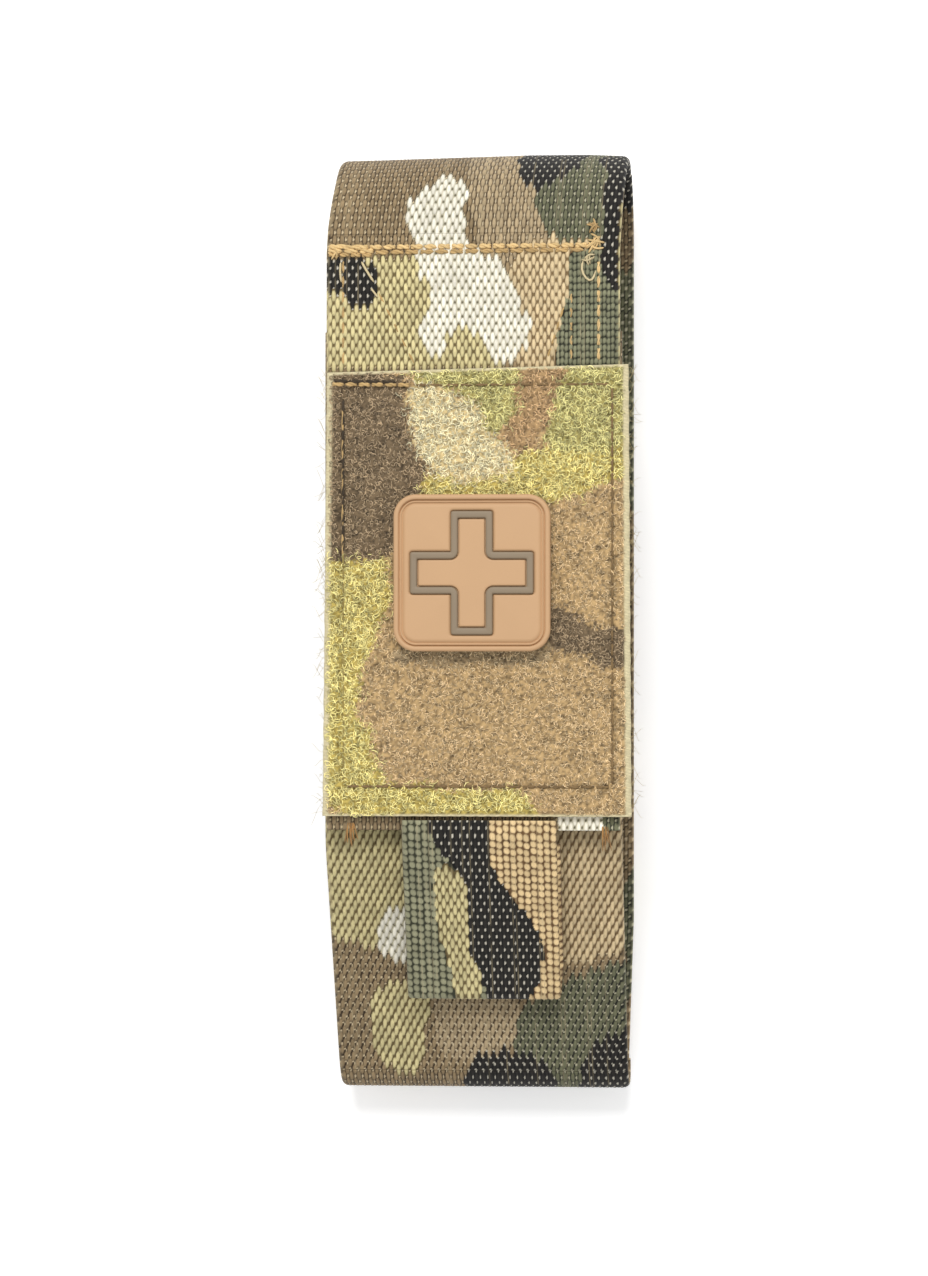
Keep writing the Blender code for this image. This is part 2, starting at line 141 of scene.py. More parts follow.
FLAP_SHAPES = [
    blob(FAWN, (-1, 92), (-2.5, 80), (-1.5, 70), (1, 62), (14, 62), (12, 72), (9, 80), (8, 92)),
    blob(TAN, (10, 80), (13, 66), (5, 64), (5, 40), (30, 40), (30, 80)),
    blob(KHAKI, (-40, 63.6), (-11, 63.6), (-7, 60), (-8, 40), (-40, 40), cuts=1),
    blob(KHAKI, (-8, 50), (-3, 52), (1.5, 49.5), (4, 46), (4, 38), (-8, 38), cuts=1),
    blob(GREEN, (9.5, 83), (8.5, 78), (10, 71), (12.6, 65.4), (30, 64.6), (30, 92), (12, 92)),
    blob(RIBBED, (15.6, 65), (15.5, 58), (14, 52), (13, 47), (13.5, 38), (30, 38), (30, 65), cuts=1),
    blob(BLACK, (6, 82), (7, 76.5), (10, 74.5), (13, 76), (14.5, 78), (17, 80), (19, 90), (7, 90)),
    blob(BLACK, (19, 84), (22, 78), (21, 73), (22, 69), (20.5, 65), (21, 60), (23, 57), (30, 56),
         (30, 90)),
    blob(BLACK, (-28, 62.6), (-18.6, 62.8), (-17, 60.6), (-18.2, 58.8), (-17.2, 57), (-19, 54.6),
         (-22, 54.6), (-22.8, 56.6), (-28, 57.4), cuts=1),
    blob(CREAM, (-13, 71.7), (-8.8, 75.6), (-7.2, 77.6), (-3.8, 77.8), (-2, 74), (-3, 71.4),
         (-2.6, 68.5), (-0.9, 64.4), (4.2, 62.6), (5.6, 59), (6.9, 54.5), (9.2, 50.5), (7.6, 46.4),
         (4.8, 43.6), (2.8, 44), (1, 48.6), (-1.4, 48.9), (-2.8, 51.2), (-4.2, 50.8), (-5.6, 48.6),
         (-6.6, 45.6), (-8.4, 45.8), (-10.6, 48.5), (-10.5, 50.8), (-8.2, 55.2), (-8, 57.4),
         (-10.4, 60.4), (-10.6, 64.4), (-11.4, 68), cuts=1),
]


def flap_camouflage(x, y, v, outer):
    """The webbing's colours from the flap's hem over the top fold."""
    region = painted(x, v, TAUPE, FLAP_SHAPES)
    region[v < 42.8] = BROWN
    region[(x - flap_middle(y) > 24.5) & (y < 73)] = KHAKI
    region[(v < -30) & (x > 13.7) & (x < 21.2)] = CREAM
    region[(v < -30) & (x >= 21.2)] = GREEN
    return region if outer else back_camouflage(x, y, v, outer)


FRONT_SHAPES = [
    blob(FAWN, (-8, -56), (-9, -66), (-9, -74), (-4, -77), (4, -75), (6.5, -70), (5, -64), (12, -56),
         cuts=1),
    blob(KHAKI, (-30, -25), (-30, -52), (-25, -55), (-18, -56), (-13, -56), (-13, -25), cuts=1),
    blob(CREAM, (-17.6, -50.5), (-15.6, -49), (-13, -48.5), (-11, -50), (-11, -58.5), (-15.5, -58.5),
         (-18.4, -55.6)),
    blob(TAN, (10, -25), (10, -57), (16, -59), (21, -57.5), (30, -55), (30, -25), cuts=1),
    blob(KHAKI, (-20, -64), (-16.5, -62.5), (-9.5, -62.5), (-9, -67), (-11.5, -70), (-10, -74),
         (-12, -79), (-17, -78), (-20, -73), (-19.5, -69)),
    blob(GREEN, (5.5, -84), (4.5, -72), (7, -66), (10, -64), (16, -61), (21, -59), (30, -56),
         (30, -84), cuts=1),
    blob(BLACK, (-4, -78), (-1, -75), (4, -74.2), (9, -75.5), (12, -79), (12, -88), (-4, -88)),
    blob(BLACK, (16, -77), (18, -74), (22, -71), (30, -70), (30, -88), (16, -88)),
]


def front_camouflage(x, y, v, outer):
    """The webbing's colours on the front panel and round the bottom fold."""
    if not outer:
        return back_camouflage(x, y, v, outer)
    return painted(x, y, TAUPE, FRONT_SHAPES)


TAB_SHAPES = [
    blob(KHAKI, (-8.2, -42), (-5.5, -41), (-3, -44), (0, -48), (0, -66), (-4.5, -66), (-6, -58),
         (-8, -52), cuts=1),
    blob(BEAD, (0.5, -28), (0.5, -42), (3, -46), (5, -50), (8, -56), (7.6, -60), (4, -68), (18, -68),
         (18, -28), cuts=1),
    blob(BLACK, (-9.0, -28), (-8.6, -35), (-7.0, -38.4), (-5.0, -41), (-2.8, -44), (-2, -47),
         (-2.4, -52), (-2.2, -56), (-1.2, -59), (-0.2, -62), (0.6, -66), (7, -66), (9.6, -61.5),
         (10.6, -58), (10.4, -54.5), (8.9, -51.6), (6.7, -48.6), (3.4, -44.4), (1.7, -40.6),
         (1.9, -35), (1.9, -28), cuts=1),
]


def tab_camouflage(x, y, v, outer):
    """The pull tab's colours, the same on both of its sides."""
    return painted(x, y, SAGE, TAB_SHAPES)


def back_camouflage(x, y, v, outer):
    """Blobs in the same colours for the faces that lie against the wearer or inside."""
    shift = 3.0 if outer else 57.0
    a = noise(x + shift, y, 17.0, 3.1) + 0.45 * noise(x, y + shift, 7.0, 9.4)
    b = noise(x, y - shift, 15.0, 5.7) + 0.45 * noise(x - shift, y, 6.0, 2.2)
    region = np.full(np.shape(x), TAUPE)
    region[a > 0.82] = KHAKI
    region[a < 0.5] = GREEN
    region[b > 1.02] = TAN
    region[b < 0.36] = BLACK
    region[(a > 0.95) & (b > 0.8)] = CREAM
    if not outer:
        region[(y > 74) & (x > 15)] = BLACK
        region[(y > 20) & (y <= 74) & (x > 15)] = GREEN
        region[(y > 52) & (y <= 74) & (x > 15) & (b > 0.7)] = BROWN
        region[(y <= 20) & (y > -30) & (x > 20)] = BROWN
    return region


# ---- weave ----

COLUMN = 0.64  # between columns of floats, mm
PERIOD = 2.5  # from one float to the next in a column, mm
FLOAT_HALF = 0.37
BEADS = ((1, 1.16, 1.3), (3, 0.72, 1.2))  # kind of float, width and pitch, mm


def woven(u, v, look, lean, seed):
    """Height from 0 to 1 and linear colour of a jacquard weave at each point.

    look(u, v) gives the region number at a float's middle. Binding yarn shows as a spot
    between the ends of two floats in one column.
    """
    best = np.full(u.shape, -1.0)
    region = look(u, v)
    along, key, spot = np.zeros(u.shape), np.zeros(u.shape), np.zeros(u.shape)

    def offer(height, here, allowed, dv, h):
        nonlocal best, region, along, key
        take = (height > best) & allowed
        best = np.where(take, height, best)
        region = np.where(take, here, region)
        along = np.where(take, dv, along)
        key = np.where(take, h, key)

    for k in (-1, 0, 1):
        column = np.round(u / COLUMN) + k
        offset = np.mod(column, 2) * PERIOD / 2
        row = np.round((v - offset) / PERIOD)
        middle = row * PERIOD + offset
        h = hashed(column, row, seed)
        du = u - column * COLUMN - lean * (v - middle) - 0.06 * (h - 0.5)
        dv = v - middle - 0.12 * (hashed(row, column, seed + 1) - 0.5)
        here = look(column * COLUMN, middle)
        tied = BEADED[here] == 2
        long = np.where(tied, 1.0, 1.1)
        height = 1 - (du / FLOAT_HALF) ** 2 - (dv / long) ** 2
        floats = (BEADED[here] == 0) | tied
        offer(height, here, floats, dv / 1.08, h)
        gap = PERIOD / 2 - np.abs(v - middle)
        wide, tall = np.where(tied, 0.16, 0.2), np.where(tied, 0.37, 0.36)
        near = 1 - ((u - column * COLUMN - lean * (v - middle)) / wide) ** 2 - (gap / tall) ** 2
        spot = np.maximum(spot, np.where(floats, near, 0))
    for kind, wide, pitch in BEADS:
        for k in (-1, 0, 1):
            column = np.round(u / wide)
            shift = np.mod(column, 2) * 0.22 * wide
            row = np.round((v - shift) / pitch) + k
            across, middle = column * wide, row * pitch + shift
            h = hashed(column, row, seed + 2)
            du = u - across - lean * (v - middle) - 0.1 * (h - 0.5) * wide
            dv = v - middle - 0.14 * (hashed(row, column, seed + 3) - 0.5)
            here = look(across, middle)
            height = 1 - np.abs(du / wide / 0.48) ** 2.2 - np.abs((dv - 0.2 * du) / pitch / 0.49) ** 2.2
            offer(height, here, BEADED[here] == kind, dv / pitch * 2, h)
    height = np.sqrt(unit(best))
    patchy = noise(u, v, 2.2, seed + 5) - 0.5
    # 0.42 * height is painted shade on each float's low sides and 0.12 * along a painted highlight
    # towards its +v end; key and patchy are the yarn's own random tone.
    shade = 0.66 + 0.42 * height + 0.26 * (key - 0.5) + 0.12 * along + 0.16 * patchy
    colour = FLOATS[region] * shade[..., None]
    # Where floats are low the colour turns to the gap colour: the yarn below, with painted shade.
    gap = SHADED_GAPS[region] * (0.8 + 0.4 * hashed(np.round(u / COLUMN), np.round(v), seed))[..., None]
    soft = unit(best * 2.6)[..., None]
    colour = gap * (1 - soft) + colour * soft
    warp = np.round(u / COLUMN - 0.5)
    streak = unit(1 - np.abs(u / COLUMN - 0.5 - warp) / 0.2) * (hashed(warp, seed, 3.0) > 0.76)
    streak = np.minimum((streak * noise(u, v, 1.3, seed + 6))[..., None] * 1.1, 0.9)
    colour = colour * (1 - streak) + (0.5 * FLOATS[region] + 0.5 * linear(214, 196, 156)) * streak
    spot = unit(spot * 2.5)[..., None] * (1 - 0.8 * soft)
    colour = colour * (1 - spot) + TIES[region] * spot
    return height, colour


# ---- mesh building ----


def new_object(name, points, faces, colours=None, strip=None):
    """A mesh object from points in mm and one or more arrays of faces, turned to face outwards."""
    points = np.asarray(points, float)
    volume = 0.0
    for f in faces:
        for k in range(1, f.shape[1] - 1):
            normal = np.cross(points[f[:, k]], points[f[:, k + 1]])
            volume += np.einsum("ij,ij->", points[f[:, 0]], normal)
    if volume < 0:
        faces = [f[:, ::-1] for f in faces]
    mesh = bpy.data.meshes.new(name)
    mesh.vertices.add(len(points))
    mesh.vertices.foreach_set("co", (points * MM).astype(np.float32).ravel())
    loops = np.concatenate([f.ravel() for f in faces]).astype(np.int32)
    totals = np.concatenate([np.full(len(f), f.shape[1]) for f in faces]).astype(np.int32)
    starts = (np.cumsum(totals) - totals).astype(np.int32)
    mesh.loops.add(len(loops))
    mesh.loops.foreach_set("vertex_index", loops)
    mesh.polygons.add(len(totals))
    mesh.polygons.foreach_set("loop_start", starts)
    mesh.polygons.foreach_set("loop_total", totals)
    mesh.polygons.foreach_set("use_smooth", np.ones(len(totals), bool))
    mesh.update(calc_edges=True)
    mesh.validate()
    if colours is not None:
        rgba = np.ones((len(points), 4), np.float32)
        rgba[:, :3] = colours
        layer = mesh.color_attributes.new("Col", "FLOAT_COLOR", "POINT")
        layer.data.foreach_set("color", rgba.ravel())
    if strip is not None:
        layer = mesh.attributes.new("Strip", "FLOAT_VECTOR", "POINT")
        layer.data.foreach_set("vector", np.asarray(strip, np.float32).ravel())
    ob = bpy.data.objects.new(name, mesh)
    bpy.context.scene.collection.objects.link(ob)
    return ob


def grid_faces(rows, columns, closed):
    """Quads of a grid of points, whose rows close on themselves if closed."""
    i = np.arange(rows - 1)[:, None] * columns
    j = np.arange(columns if closed else columns - 1)[None, :]
    k = (j + 1) % columns
    quads = np.stack([i + j, i + k, i + columns + k, i + columns + j], -1)
    return quads.reshape(-1, 4)


class Path:
    """A line of (y, z) points in mm, spaced evenly, with distance, direction and outer normal."""

    def __init__(self, points, step, v0=0.0):
        points = np.array(points, float)
        lengths = np.hypot(*np.diff(points, axis=0).T)
        keep = np.concatenate([[True], lengths > 1e-6])
        points = points[keep]
        far = np.concatenate([[0], np.cumsum(np.hypot(*np.diff(points, axis=0).T))])
        self.count = max(2, int(round(far[-1] / step)) + 1)
        d = np.linspace(0, far[-1], self.count)
        self.y = np.interp(d, far, points[:, 0])
        self.z = np.interp(d, far, points[:, 1])
        ty, tz = np.gradient(self.y, d), np.gradient(self.z, d)
        size = np.hypot(ty, tz)
        self.ny, self.nz = -tz / size, ty / size
        self.v = d + v0
        self.length = far[-1]

    def y_at(self, v):
        return np.interp(v, self.v, self.y)


def arc(centre, radius, start, end, count):
    """Points (y, z) round part of a circle, in degrees from +Y towards +Z."""
    a = np.radians(np.linspace(start, end, count))
    return list(zip(centre[0] + radius * np.cos(a), centre[1] + radius * np.sin(a)))


def webbing(name, path, width, thick, camouflage, relief=0.1, across=0.16, *, centre=None,
            bend=None, tone=None, plain=None, lean=0.0, seed=1.0):
    """A woven strip with thickness, rounded selvages and cut ends, along a path.

    relief is the yarn's height and across the spacing of points, in mm. centre(y), bend(x, y, z)
    and tone(v) shift the strip sideways, move its points and shade it. plain(u, v) replaces the
    camouflage weave.
    """
    half, edge = width / 2, thick / 2
    count = int(round((width - thick) / across)) + 1
    flat = np.linspace(-half + edge, half - edge, count)
    turn = np.radians(np.linspace(60, -60, 5))
    side, rise, face = half - edge + edge * np.cos(turn), edge * np.sin(turn), np.full(count, edge)
    ring_u = np.concatenate([flat, side, flat[::-1], -side])
    ring_n = np.concatenate([face, rise, -face, -rise])
    outer = ring_n > 0
    u = np.broadcast_to(ring_u, (path.count, len(ring_u)))
    v = np.broadcast_to(path.v[:, None], u.shape)
    middle = centre or (lambda y: np.zeros(np.shape(y)))

    def look_at(side):
        def look(a, b):
            y = path.y_at(b)
            return camouflage(a + middle(y), y, b, side)

        return look

    if plain is None:
        height = np.zeros(u.shape)
        colour = np.zeros(u.shape + (3,))
        for side in (True, False):
            pick = outer == side
            h, c = woven(u[:, pick], v[:, pick], look_at(side), lean, seed + (0 if side else 7))
            height[:, pick], colour[:, pick] = h, c
    else:
        height, colour = plain(u, v)
    if tone:
        colour = colour * tone(v)[..., None]
    selvage = unit((np.abs(ring_u) - half + 1.5) / 1.5)
    n = ring_n * (1 - 0.25 * selvage**2) + np.sign(ring_n) * height * relief * (np.abs(ring_n) / edge)
    x = u + middle(path.y)[:, None]
    y = path.y[:, None] + n * path.ny[:, None]
    z = path.z[:, None] + n * path.nz[:, None]
    if bend:
        x, y, z = bend(x, y, z)
    points = np.stack([x, y, z], -1).reshape(-1, 3)
    strip = np.stack([u, v, np.broadcast_to(np.where(outer, 0.0, 50.0), u.shape)], -1).reshape(-1, 3)
    ring = len(ring_u)
    faces = [grid_faces(path.count, ring, True)[:, ::-1]]
    i = np.arange(count - 1)
    j = count + 5 + (count - 1 - i)
    cap = np.stack([i, i + 1, j - 1, j], -1)
    right = np.arange(count - 1, count + 6)[None, :]
    left = np.concatenate([np.arange(2 * count + 4, ring), [0]])[None, :]
    last = (path.count - 1) * ring
    faces += [cap, cap[:, ::-1] + last, right, right[:, ::-1] + last, left, left[:, ::-1] + last]
    return new_object(name, points, faces, colour.reshape(-1, 3), strip)


def tubes(name, curves, radius, colours, sides=4):
    """Round threads along curves of shape (many, points, 3) in mm, all in one mesh."""
    curves = np.asarray(curves, float)
    many, count, _ = curves.shape
    along = np.gradient(curves, axis=1)
    along /= np.linalg.norm(along, axis=2, keepdims=True) + 1e-9
    up = np.zeros_like(along)
    up[..., 2] = 1
    side = np.cross(along, up)
    weak = np.linalg.norm(side, axis=2) < 0.15
    side[weak] = np.cross(along[weak], [1.0, 0.3, 0.0])
    side /= np.linalg.norm(side, axis=2, keepdims=True) + 1e-9
    top = np.cross(side, along)
    turn = 2 * PI * np.arange(sides) / sides
    wide = np.broadcast_to(np.asarray(radius, float).reshape(-1, 1, 1, 1), (many, 1, 1, 1))
    thin = np.ones(count)
    thin[[0, -1]] = 0.45
    around = side[:, :, None] * np.cos(turn)[:, None] + top[:, :, None] * np.sin(turn)[:, None]
    points = curves[:, :, None] + around * wide * thin[None, :, None, None]
    block = grid_faces(count, sides, True)
    step = count * sides
    faces = (block[None] + (np.arange(many) * step)[:, None, None]).reshape(-1, 4)
    ring = np.arange(sides)
    ends = np.stack([ring[::-1], ring + (count - 1) * sides])
    caps = (ends[None] + (np.arange(many) * step)[:, None, None]).reshape(-1, sides)
    colours = np.asarray(colours, float)
    if colours.ndim == 1:
        colours = np.broadcast_to(colours, (many, 3))
    if colours.ndim == 2:
        colours = np.broadcast_to(colours[:, None, :], (many, count, 3))
    colours = np.repeat(colours[:, :, None, :], sides, axis=2)
    strip = np.zeros(points.shape)
    strip[..., 1] = np.arange(count)[None, :, None] * 0.2 + np.arange(many)[:, None, None]
    strip[..., 0] = turn[None, None, :] * 0.1
    points, colours, strip = (a.reshape(-1, 3) for a in (points, colours, strip))
    return new_object(name, points, [faces, caps], colours, strip)


# ---- materials ----


def material(name, colour=None, rough=0.8, metal=0.0, sheen=0.0):
    """A Principled material and its shader."""
    mat = bpy.data.materials.new(name)
    mat.use_nodes = True
    shader = mat.node_tree.nodes["Principled BSDF"]
    put(shader, {"Roughness": rough, "Metallic": metal, "Sheen Weight": sheen})
    if colour is not None:
        put(shader, {"Base Color": (*colour, 1)})
    return mat, shader


def put(made, values):
    """Sets a node's inputs and settings by name."""
    for key, value in values.items():
        if key in made.inputs:
            made.inputs[key].default_value = value
        else:
            setattr(made, key, value)


def node(mat, kind, **values):
    """A new node, with its inputs and settings."""
    made = mat.node_tree.nodes.new("ShaderNode" + kind)
    put(made, values)
    return made


def wire(mat, *links):
    """Joins an output to an input, for each (node, output, node, input)."""
    for start, output, end, socket in links:
        mat.node_tree.links.new(start.outputs[output], end.inputs[socket])


def textile(name, grain=(9.0, 1.6, 1.0), depth=0.25, spread=0.22, rough=0.85, sheen=0.06):
    """Yarn: the mesh's own woven colour, broken up by fine fibres that also give the bump."""
    mat, shader = material(name, rough=rough, sheen=sheen)
    put(shader, {"Sheen Roughness": 0.6, "Specular IOR Level": 0.25})
    colour = node(mat, "Attribute", attribute_name="Col")
    place = node(mat, "Attribute", attribute_name="Strip")
    scale = node(mat, "Mapping", vector_type="POINT", Scale=grain)
    fibres = node(mat, "TexNoise", Scale=1.0, Detail=3.0, Roughness=0.65)
    level = node(mat, "MapRange")
    put(level, {"From Min": 0.25, "From Max": 0.75, "To Min": 1 - spread, "To Max": 1 + spread})
    mix = node(mat, "VectorMath", operation="SCALE")
    bump = node(mat, "Bump", Strength=depth, Distance=0.0002)
    wire(
        mat,
        (place, "Vector", scale, "Vector"),
        (scale, "Vector", fibres, "Vector"),
        (fibres, "Fac", level, "Value"),
        (colour, "Color", mix, 0),
        (level, "Result", mix, "Scale"),
        (mix, "Vector", shader, "Base Color"),
        (fibres, "Fac", bump, "Height"),
        (bump, "Normal", shader, "Normal"),
    )
    return mat


def moulded(name, colour, rough=0.55, grain=900.0, depth=0.12, spread=0.06, metal=0.0):
    """Moulded plastic, rubber or metal: a fine grain with slow changes of tone."""
    mat, shader = material(name, rough=rough, metal=metal)
    place = node(mat, "TexCoord")
    fine = node(mat, "TexNoise", Scale=grain * 3, Detail=2.0)
    broad = node(mat, "TexNoise", Scale=grain / 8, Detail=3.0)
    level = node(mat, "MapRange")
    put(level, {"To Min": 1 - spread * 2, "To Max": 1 + spread * 2})
    tone = node(mat, "VectorMath", operation="SCALE")
    tone.inputs[0].default_value = colour
    bump = node(mat, "Bump", Strength=depth, Distance=0.0001)
    wire(
        mat,
        (place, "Object", fine, "Vector"),
        (place, "Object", broad, "Vector"),
        (broad, "Fac", level, "Value"),
        (level, "Result", tone, "Scale"),
        (tone, "Vector", shader, "Base Color"),
        (fine, "Fac", bump, "Height"),
        (bump, "Normal", shader, "Normal"),
    )
    return mat


def wear(ob, mat):
    """Gives an object one material."""
    ob.data.materials.clear()
    ob.data.materials.append(mat)
    return ob


def fit(piece, mat, body, slot, stands_for=None):
    """A piece's material, body, material slot, which is not used, and the CAD node that it stands for.
    """
    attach(wear(piece, mat), body)
    if stands_for:
        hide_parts(stands_for)
    return piece


def tape(name, line, step, size, weave, fitted, **how):
    """A plain woven strip along a line of (y, z) points in mm, and its path.

    size is its width, thickness, relief and spacing across; fitted is what fit() takes.
    """
    path = Path(line, step)
    width, thick, relief, across = size
    piece = webbing(name, path, width, thick, None, relief, across, plain=weave, **how)
    return fit(piece, *fitted), path


WEB = textile("camouflage_webbing")
PILE = textile("loop_pile", grain=(6.0, 6.0, 1.0), depth=0.3, spread=0.18, rough=0.9, sheen=0.08)
THREAD = textile("sewing_thread", grain=(4.0, 14.0, 1.0), depth=0.3, spread=0.2, rough=0.7)
BLACK_WEB = textile("black_webbing_yarn", grain=(4.0, 8.0, 1.0), depth=0.3, spread=0.2, rough=0.75)
RUBBER = moulded("patch_rubber", linear(208, 166, 122), rough=0.62, spread=0.02)
BAND = moulded("patch_band", linear(146, 128, 104), rough=0.6, spread=0.03)
BLACK_PLASTIC = moulded("black_plastic", linear(44, 44, 46), rough=0.42, depth=0.2)
WINDLASS_YARN = moulded("windlass_band_yarn", linear(42, 42, 45), rough=0.85, depth=0.3)
METAL = moulded("blackened_metal", linear(62, 58, 52), rough=0.38, metal=0.85, depth=0.1)

# ---- the pouch's strip ----

FOLD_R = 13.6
FOLD_AT = (67.1, 18.5)
FLAP_LINE = 32.1
BACK_LINE = 4.9
BOTTOM_AT = (-76.7, 8.9)
BOTTOM_R = 4.0
FRONT_LINE = 27.2
HEM = -35.5
THICK = 1.6
WIDTH = 50


def flap_middle(y):
    """How far left of the body's middle the flap's webbing runs, back to none at the top edge."""
    return -0.95 * unit((81 - y) / 17.0)


def flap_tone(v):
    """The top fold turns away from the light."""
    return 1 - 0.08 * unit((v - 64) / 6)


def even_tone(level):
    """A tone for faces that turn away from the light all over."""
    return lambda v: np.full(v.shape, level)


def drawn_in(y):
    """The flap's upper part is a little shorter than its path, drawn in by its stitching."""
    return y - 0.035 * np.clip(y - 45, 0, None)


def slanted(x, y, z):
    """The top edge is a little lower at the left corner."""
    w = unit((y - 58) / 22)
    low = 0.15 * unit((-16 - x) / 9) + 0.6 * unit((8 - x) / 25)
    low += 0.3 * unit((x - 18) / 7)
    spread = 0.4 * unit(-x / 25) * unit((76 - y) / 8)
    return x - spread, drawn_in(y) + w * w * (0.8 - low), z


def front_middle(y):
    """The front panel leans to the left on its way up."""
    return np.interp(y, [-84, -76, -38, 50], [-0.5, -0.7, -1.2, -1.2])


def bottom_middle(y):
    """The bottom fold meets the front panel's lower end and the back's."""
    return np.interp(y, [-82, -76], [-0.5, -0.7])


def back_middle(y):
    """The back's lower end runs over to the left, to meet the bottom fold."""
    return np.interp(y, [-77, -52], [-0.85, 0.0])


def front_spread(x, y, z):
    """The loaded front panel is pressed a little wider than the strip below it."""
    return x * (1.012 + 0.014 * unit((y + 84) / 46)) - 0.25, y, z


def bottom_and_front():
    """The bottom fold, the slope and the flat part under the flap."""
    fold = arc(BOTTOM_AT, BOTTOM_R, 270, 110, 14)
    slope = math.radians(20)
    start = fold[-1]
    rise = FRONT_LINE - start[1]
    corner = start[0] + rise / math.tan(slope)
    bend = 20 + THICK / 2
    run = bend * math.tan(slope / 2)
    return fold, arc((corner + run, FRONT_LINE - bend), bend, 110, 90, 8) + [(50.0, FRONT_LINE)]


def build_strip():
    """The one length of webbing, in pieces that meet at the fold lines."""
    flap_path = Path([(HEM, FLAP_LINE), (FOLD_AT[0], FLAP_LINE)], 0.2, HEM)
    v = FOLD_AT[0]
    look = {"centre": flap_middle, "bend": slanted, "tone": flap_tone}
    flap = webbing("flap_webbing_woven", flap_path, WIDTH, THICK, flap_camouflage, **look)
    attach(wear(flap, WEB), "flap")
    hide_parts("flap_webbing")
    made = [flap]
    spans = [("flap", "fold_b", 90), ("fold_b", "fold_a", 30), ("fold_a", "pouch", -30)]
    for number, (above, below, start) in enumerate(spans):
        path = Path(arc(FOLD_AT, FOLD_R, start, start - 60, 60), 0.2, v)
        if below == "pouch":
            del look["centre"]
        name = f"top_fold_woven_{3 - number}"
        piece = wear(webbing(name, path, WIDTH, THICK, flap_camouflage, **look), WEB)
        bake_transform(piece)
        made.append(piece)
        v += path.length
    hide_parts("fold_2")
    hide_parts("fold_1")
    fold, front = bottom_and_front()
    back_path = Path([(FOLD_AT[0], BACK_LINE), (BOTTOM_AT[0], BACK_LINE)], 0.3, v)
    bottom_path = Path(fold, 0.2)
    front_path = Path([fold[-1]] + front, 0.22, bottom_path.length)
    back_look = {"centre": back_middle, "bend": slanted, "across": 0.21}
    front_look = {"bend": front_spread, "tone": even_tone(0.87)}
    for name, path, colours, look in [
        ("back_panel_woven", back_path, back_camouflage, back_look),
        ("bottom_fold_woven", bottom_path, front_camouflage, front_look | {"centre": bottom_middle}),
        ("front_panel_woven", front_path, front_camouflage,
         front_look | {"centre": front_middle, "lean": 0.1}),
    ]:
        made.append(webbing(name, path, WIDTH, THICK, colours, **look))
        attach(wear(made[-1], WEB), "pouch")
    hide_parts("body_webbing")
    return made


# ---- loop field ----

FIELD_Z = 33.75
FIELD_Y = (-33.1, 43.3)
FIELD_WIDTH = 51.5
FIELD_LONG = 76.4
PILE_Z = 34.15
CURLS = 33000
F_TAN, F_DARK, F_CREAM, F_GREEN, F_LIME, F_BAND, F_GREY_PAINTED_LIGHTER = range(7)
# Loop field: loop tops, ground cloth between the loops (its own colour, darkened in part as painted
# shade), and loop size, mm.
FIELD_YARNS = [
    ((236, 208, 162), (176, 147, 103), 0.3),
    ((192, 168, 134), (108, 91, 68), 0.3),
    ((255, 246, 206), (202, 180, 130), 0.47),
    ((240, 232, 162), (156, 145, 86), 0.46),
    ((255, 243, 166), (178, 158, 84), 0.48),
    ((232, 196, 148), (162, 132, 92), 0.32),
    # The band just below the patch: painted lighter to make up for the shadow the patch casts there,
    # painted light.
    ((244, 220, 176), (162, 140, 106), 0.3),
]
FIELD_TOPS = np.array([linear(*yarn[0]) for yarn in FIELD_YARNS]) * 1.35
FIELD_GROUND = np.array([linear(*yarn[1]) for yarn in FIELD_YARNS])
FIELD_CURL = np.array([yarn[2] for yarn in FIELD_YARNS])
FIELD_SHAPES = [
    blob(F_LIME, (-30, 13), (-15, 13.7), (-14.9, 3.1), (-17.5, -0.8), (-18.7, -4.7), (-19.9, -11),
         (-20.1, -15.6), (-18, -20.1), (-17.2, -23.8), (-14.8, -27.1), (-4, -28.6), (9.3, -28.3),
         (9.6, -35), (-30, -35), cuts=1),
    blob(F_DARK, (-30, 44), (-16, 44), (-12.2, 41.7), (-12.6, 34), (-10.5, 29), (-9.5, 25), (-10, 20),
         (-12, 14), (-16, 11.5), (-22, 10.5), (-30, 12), cuts=1),
    blob(F_CREAM, (-12, 40.8), (-6, 40.3), (-1, 37), (3.2, 32), (6.4, 28), (6.2, 24.3), (-1, 23.4),
         (-8.6, 24.6), (-10.6, 30), (-12.4, 35), cuts=1),
    blob(F_GREEN, (-14, 46), (8.4, 46), (7.9, 40), (5.6, 34), (2.6, 32.2), (-1, 37.4), (-5, 40.6),
         (-11.7, 40.6), cuts=1),
    blob(F_LIME, (-9.6, 25.0), (-1, 23.6), (6, 24.8), (7, 21), (-9.4, 21), cuts=1),
    blob(F_BAND, (8, 46), (18, 46), (14.4, 39), (9.6, 30.6), (5.6, 28.4), (3.6, 31.4), (6.6, 36),
         cuts=1),
    blob(F_GREEN, (15, 46), (30, 46), (30, 28), (20, 27.6), (9.6, 29.4), (12.4, 35), cuts=1),
    blob(F_LIME, (5.8, 28.8), (12, 29), (22, 28.8), (30, 29), (30, 26), (19, 22.6), (13.4, 19.6),
         (6, 20.4), cuts=1),
    blob(F_DARK, (12, 3.4), (15.4, 1.8), (19, -0.8), (26, -1.4), (26, -8), (21, -8.4), (17, -6),
         (12, -5.4), cuts=1),
    # Band just below the patch, coloured lighter against the patch's shadow: painted light.
    blob(F_GREY_PAINTED_LIGHTER, (-15, -3.6), (12.5, -3.6), (13, -8), (4, -7.6), (-8, -7.0), (-14, -7.6), cuts=1),
]


def field_region(x, y):
    dx, dy = (1.6 * (noise(x, y, 3.0, seed) - 0.5) for seed in (11.0, 12.0))
    return painted(x + dx, y + dy, F_TAN, FIELD_SHAPES)


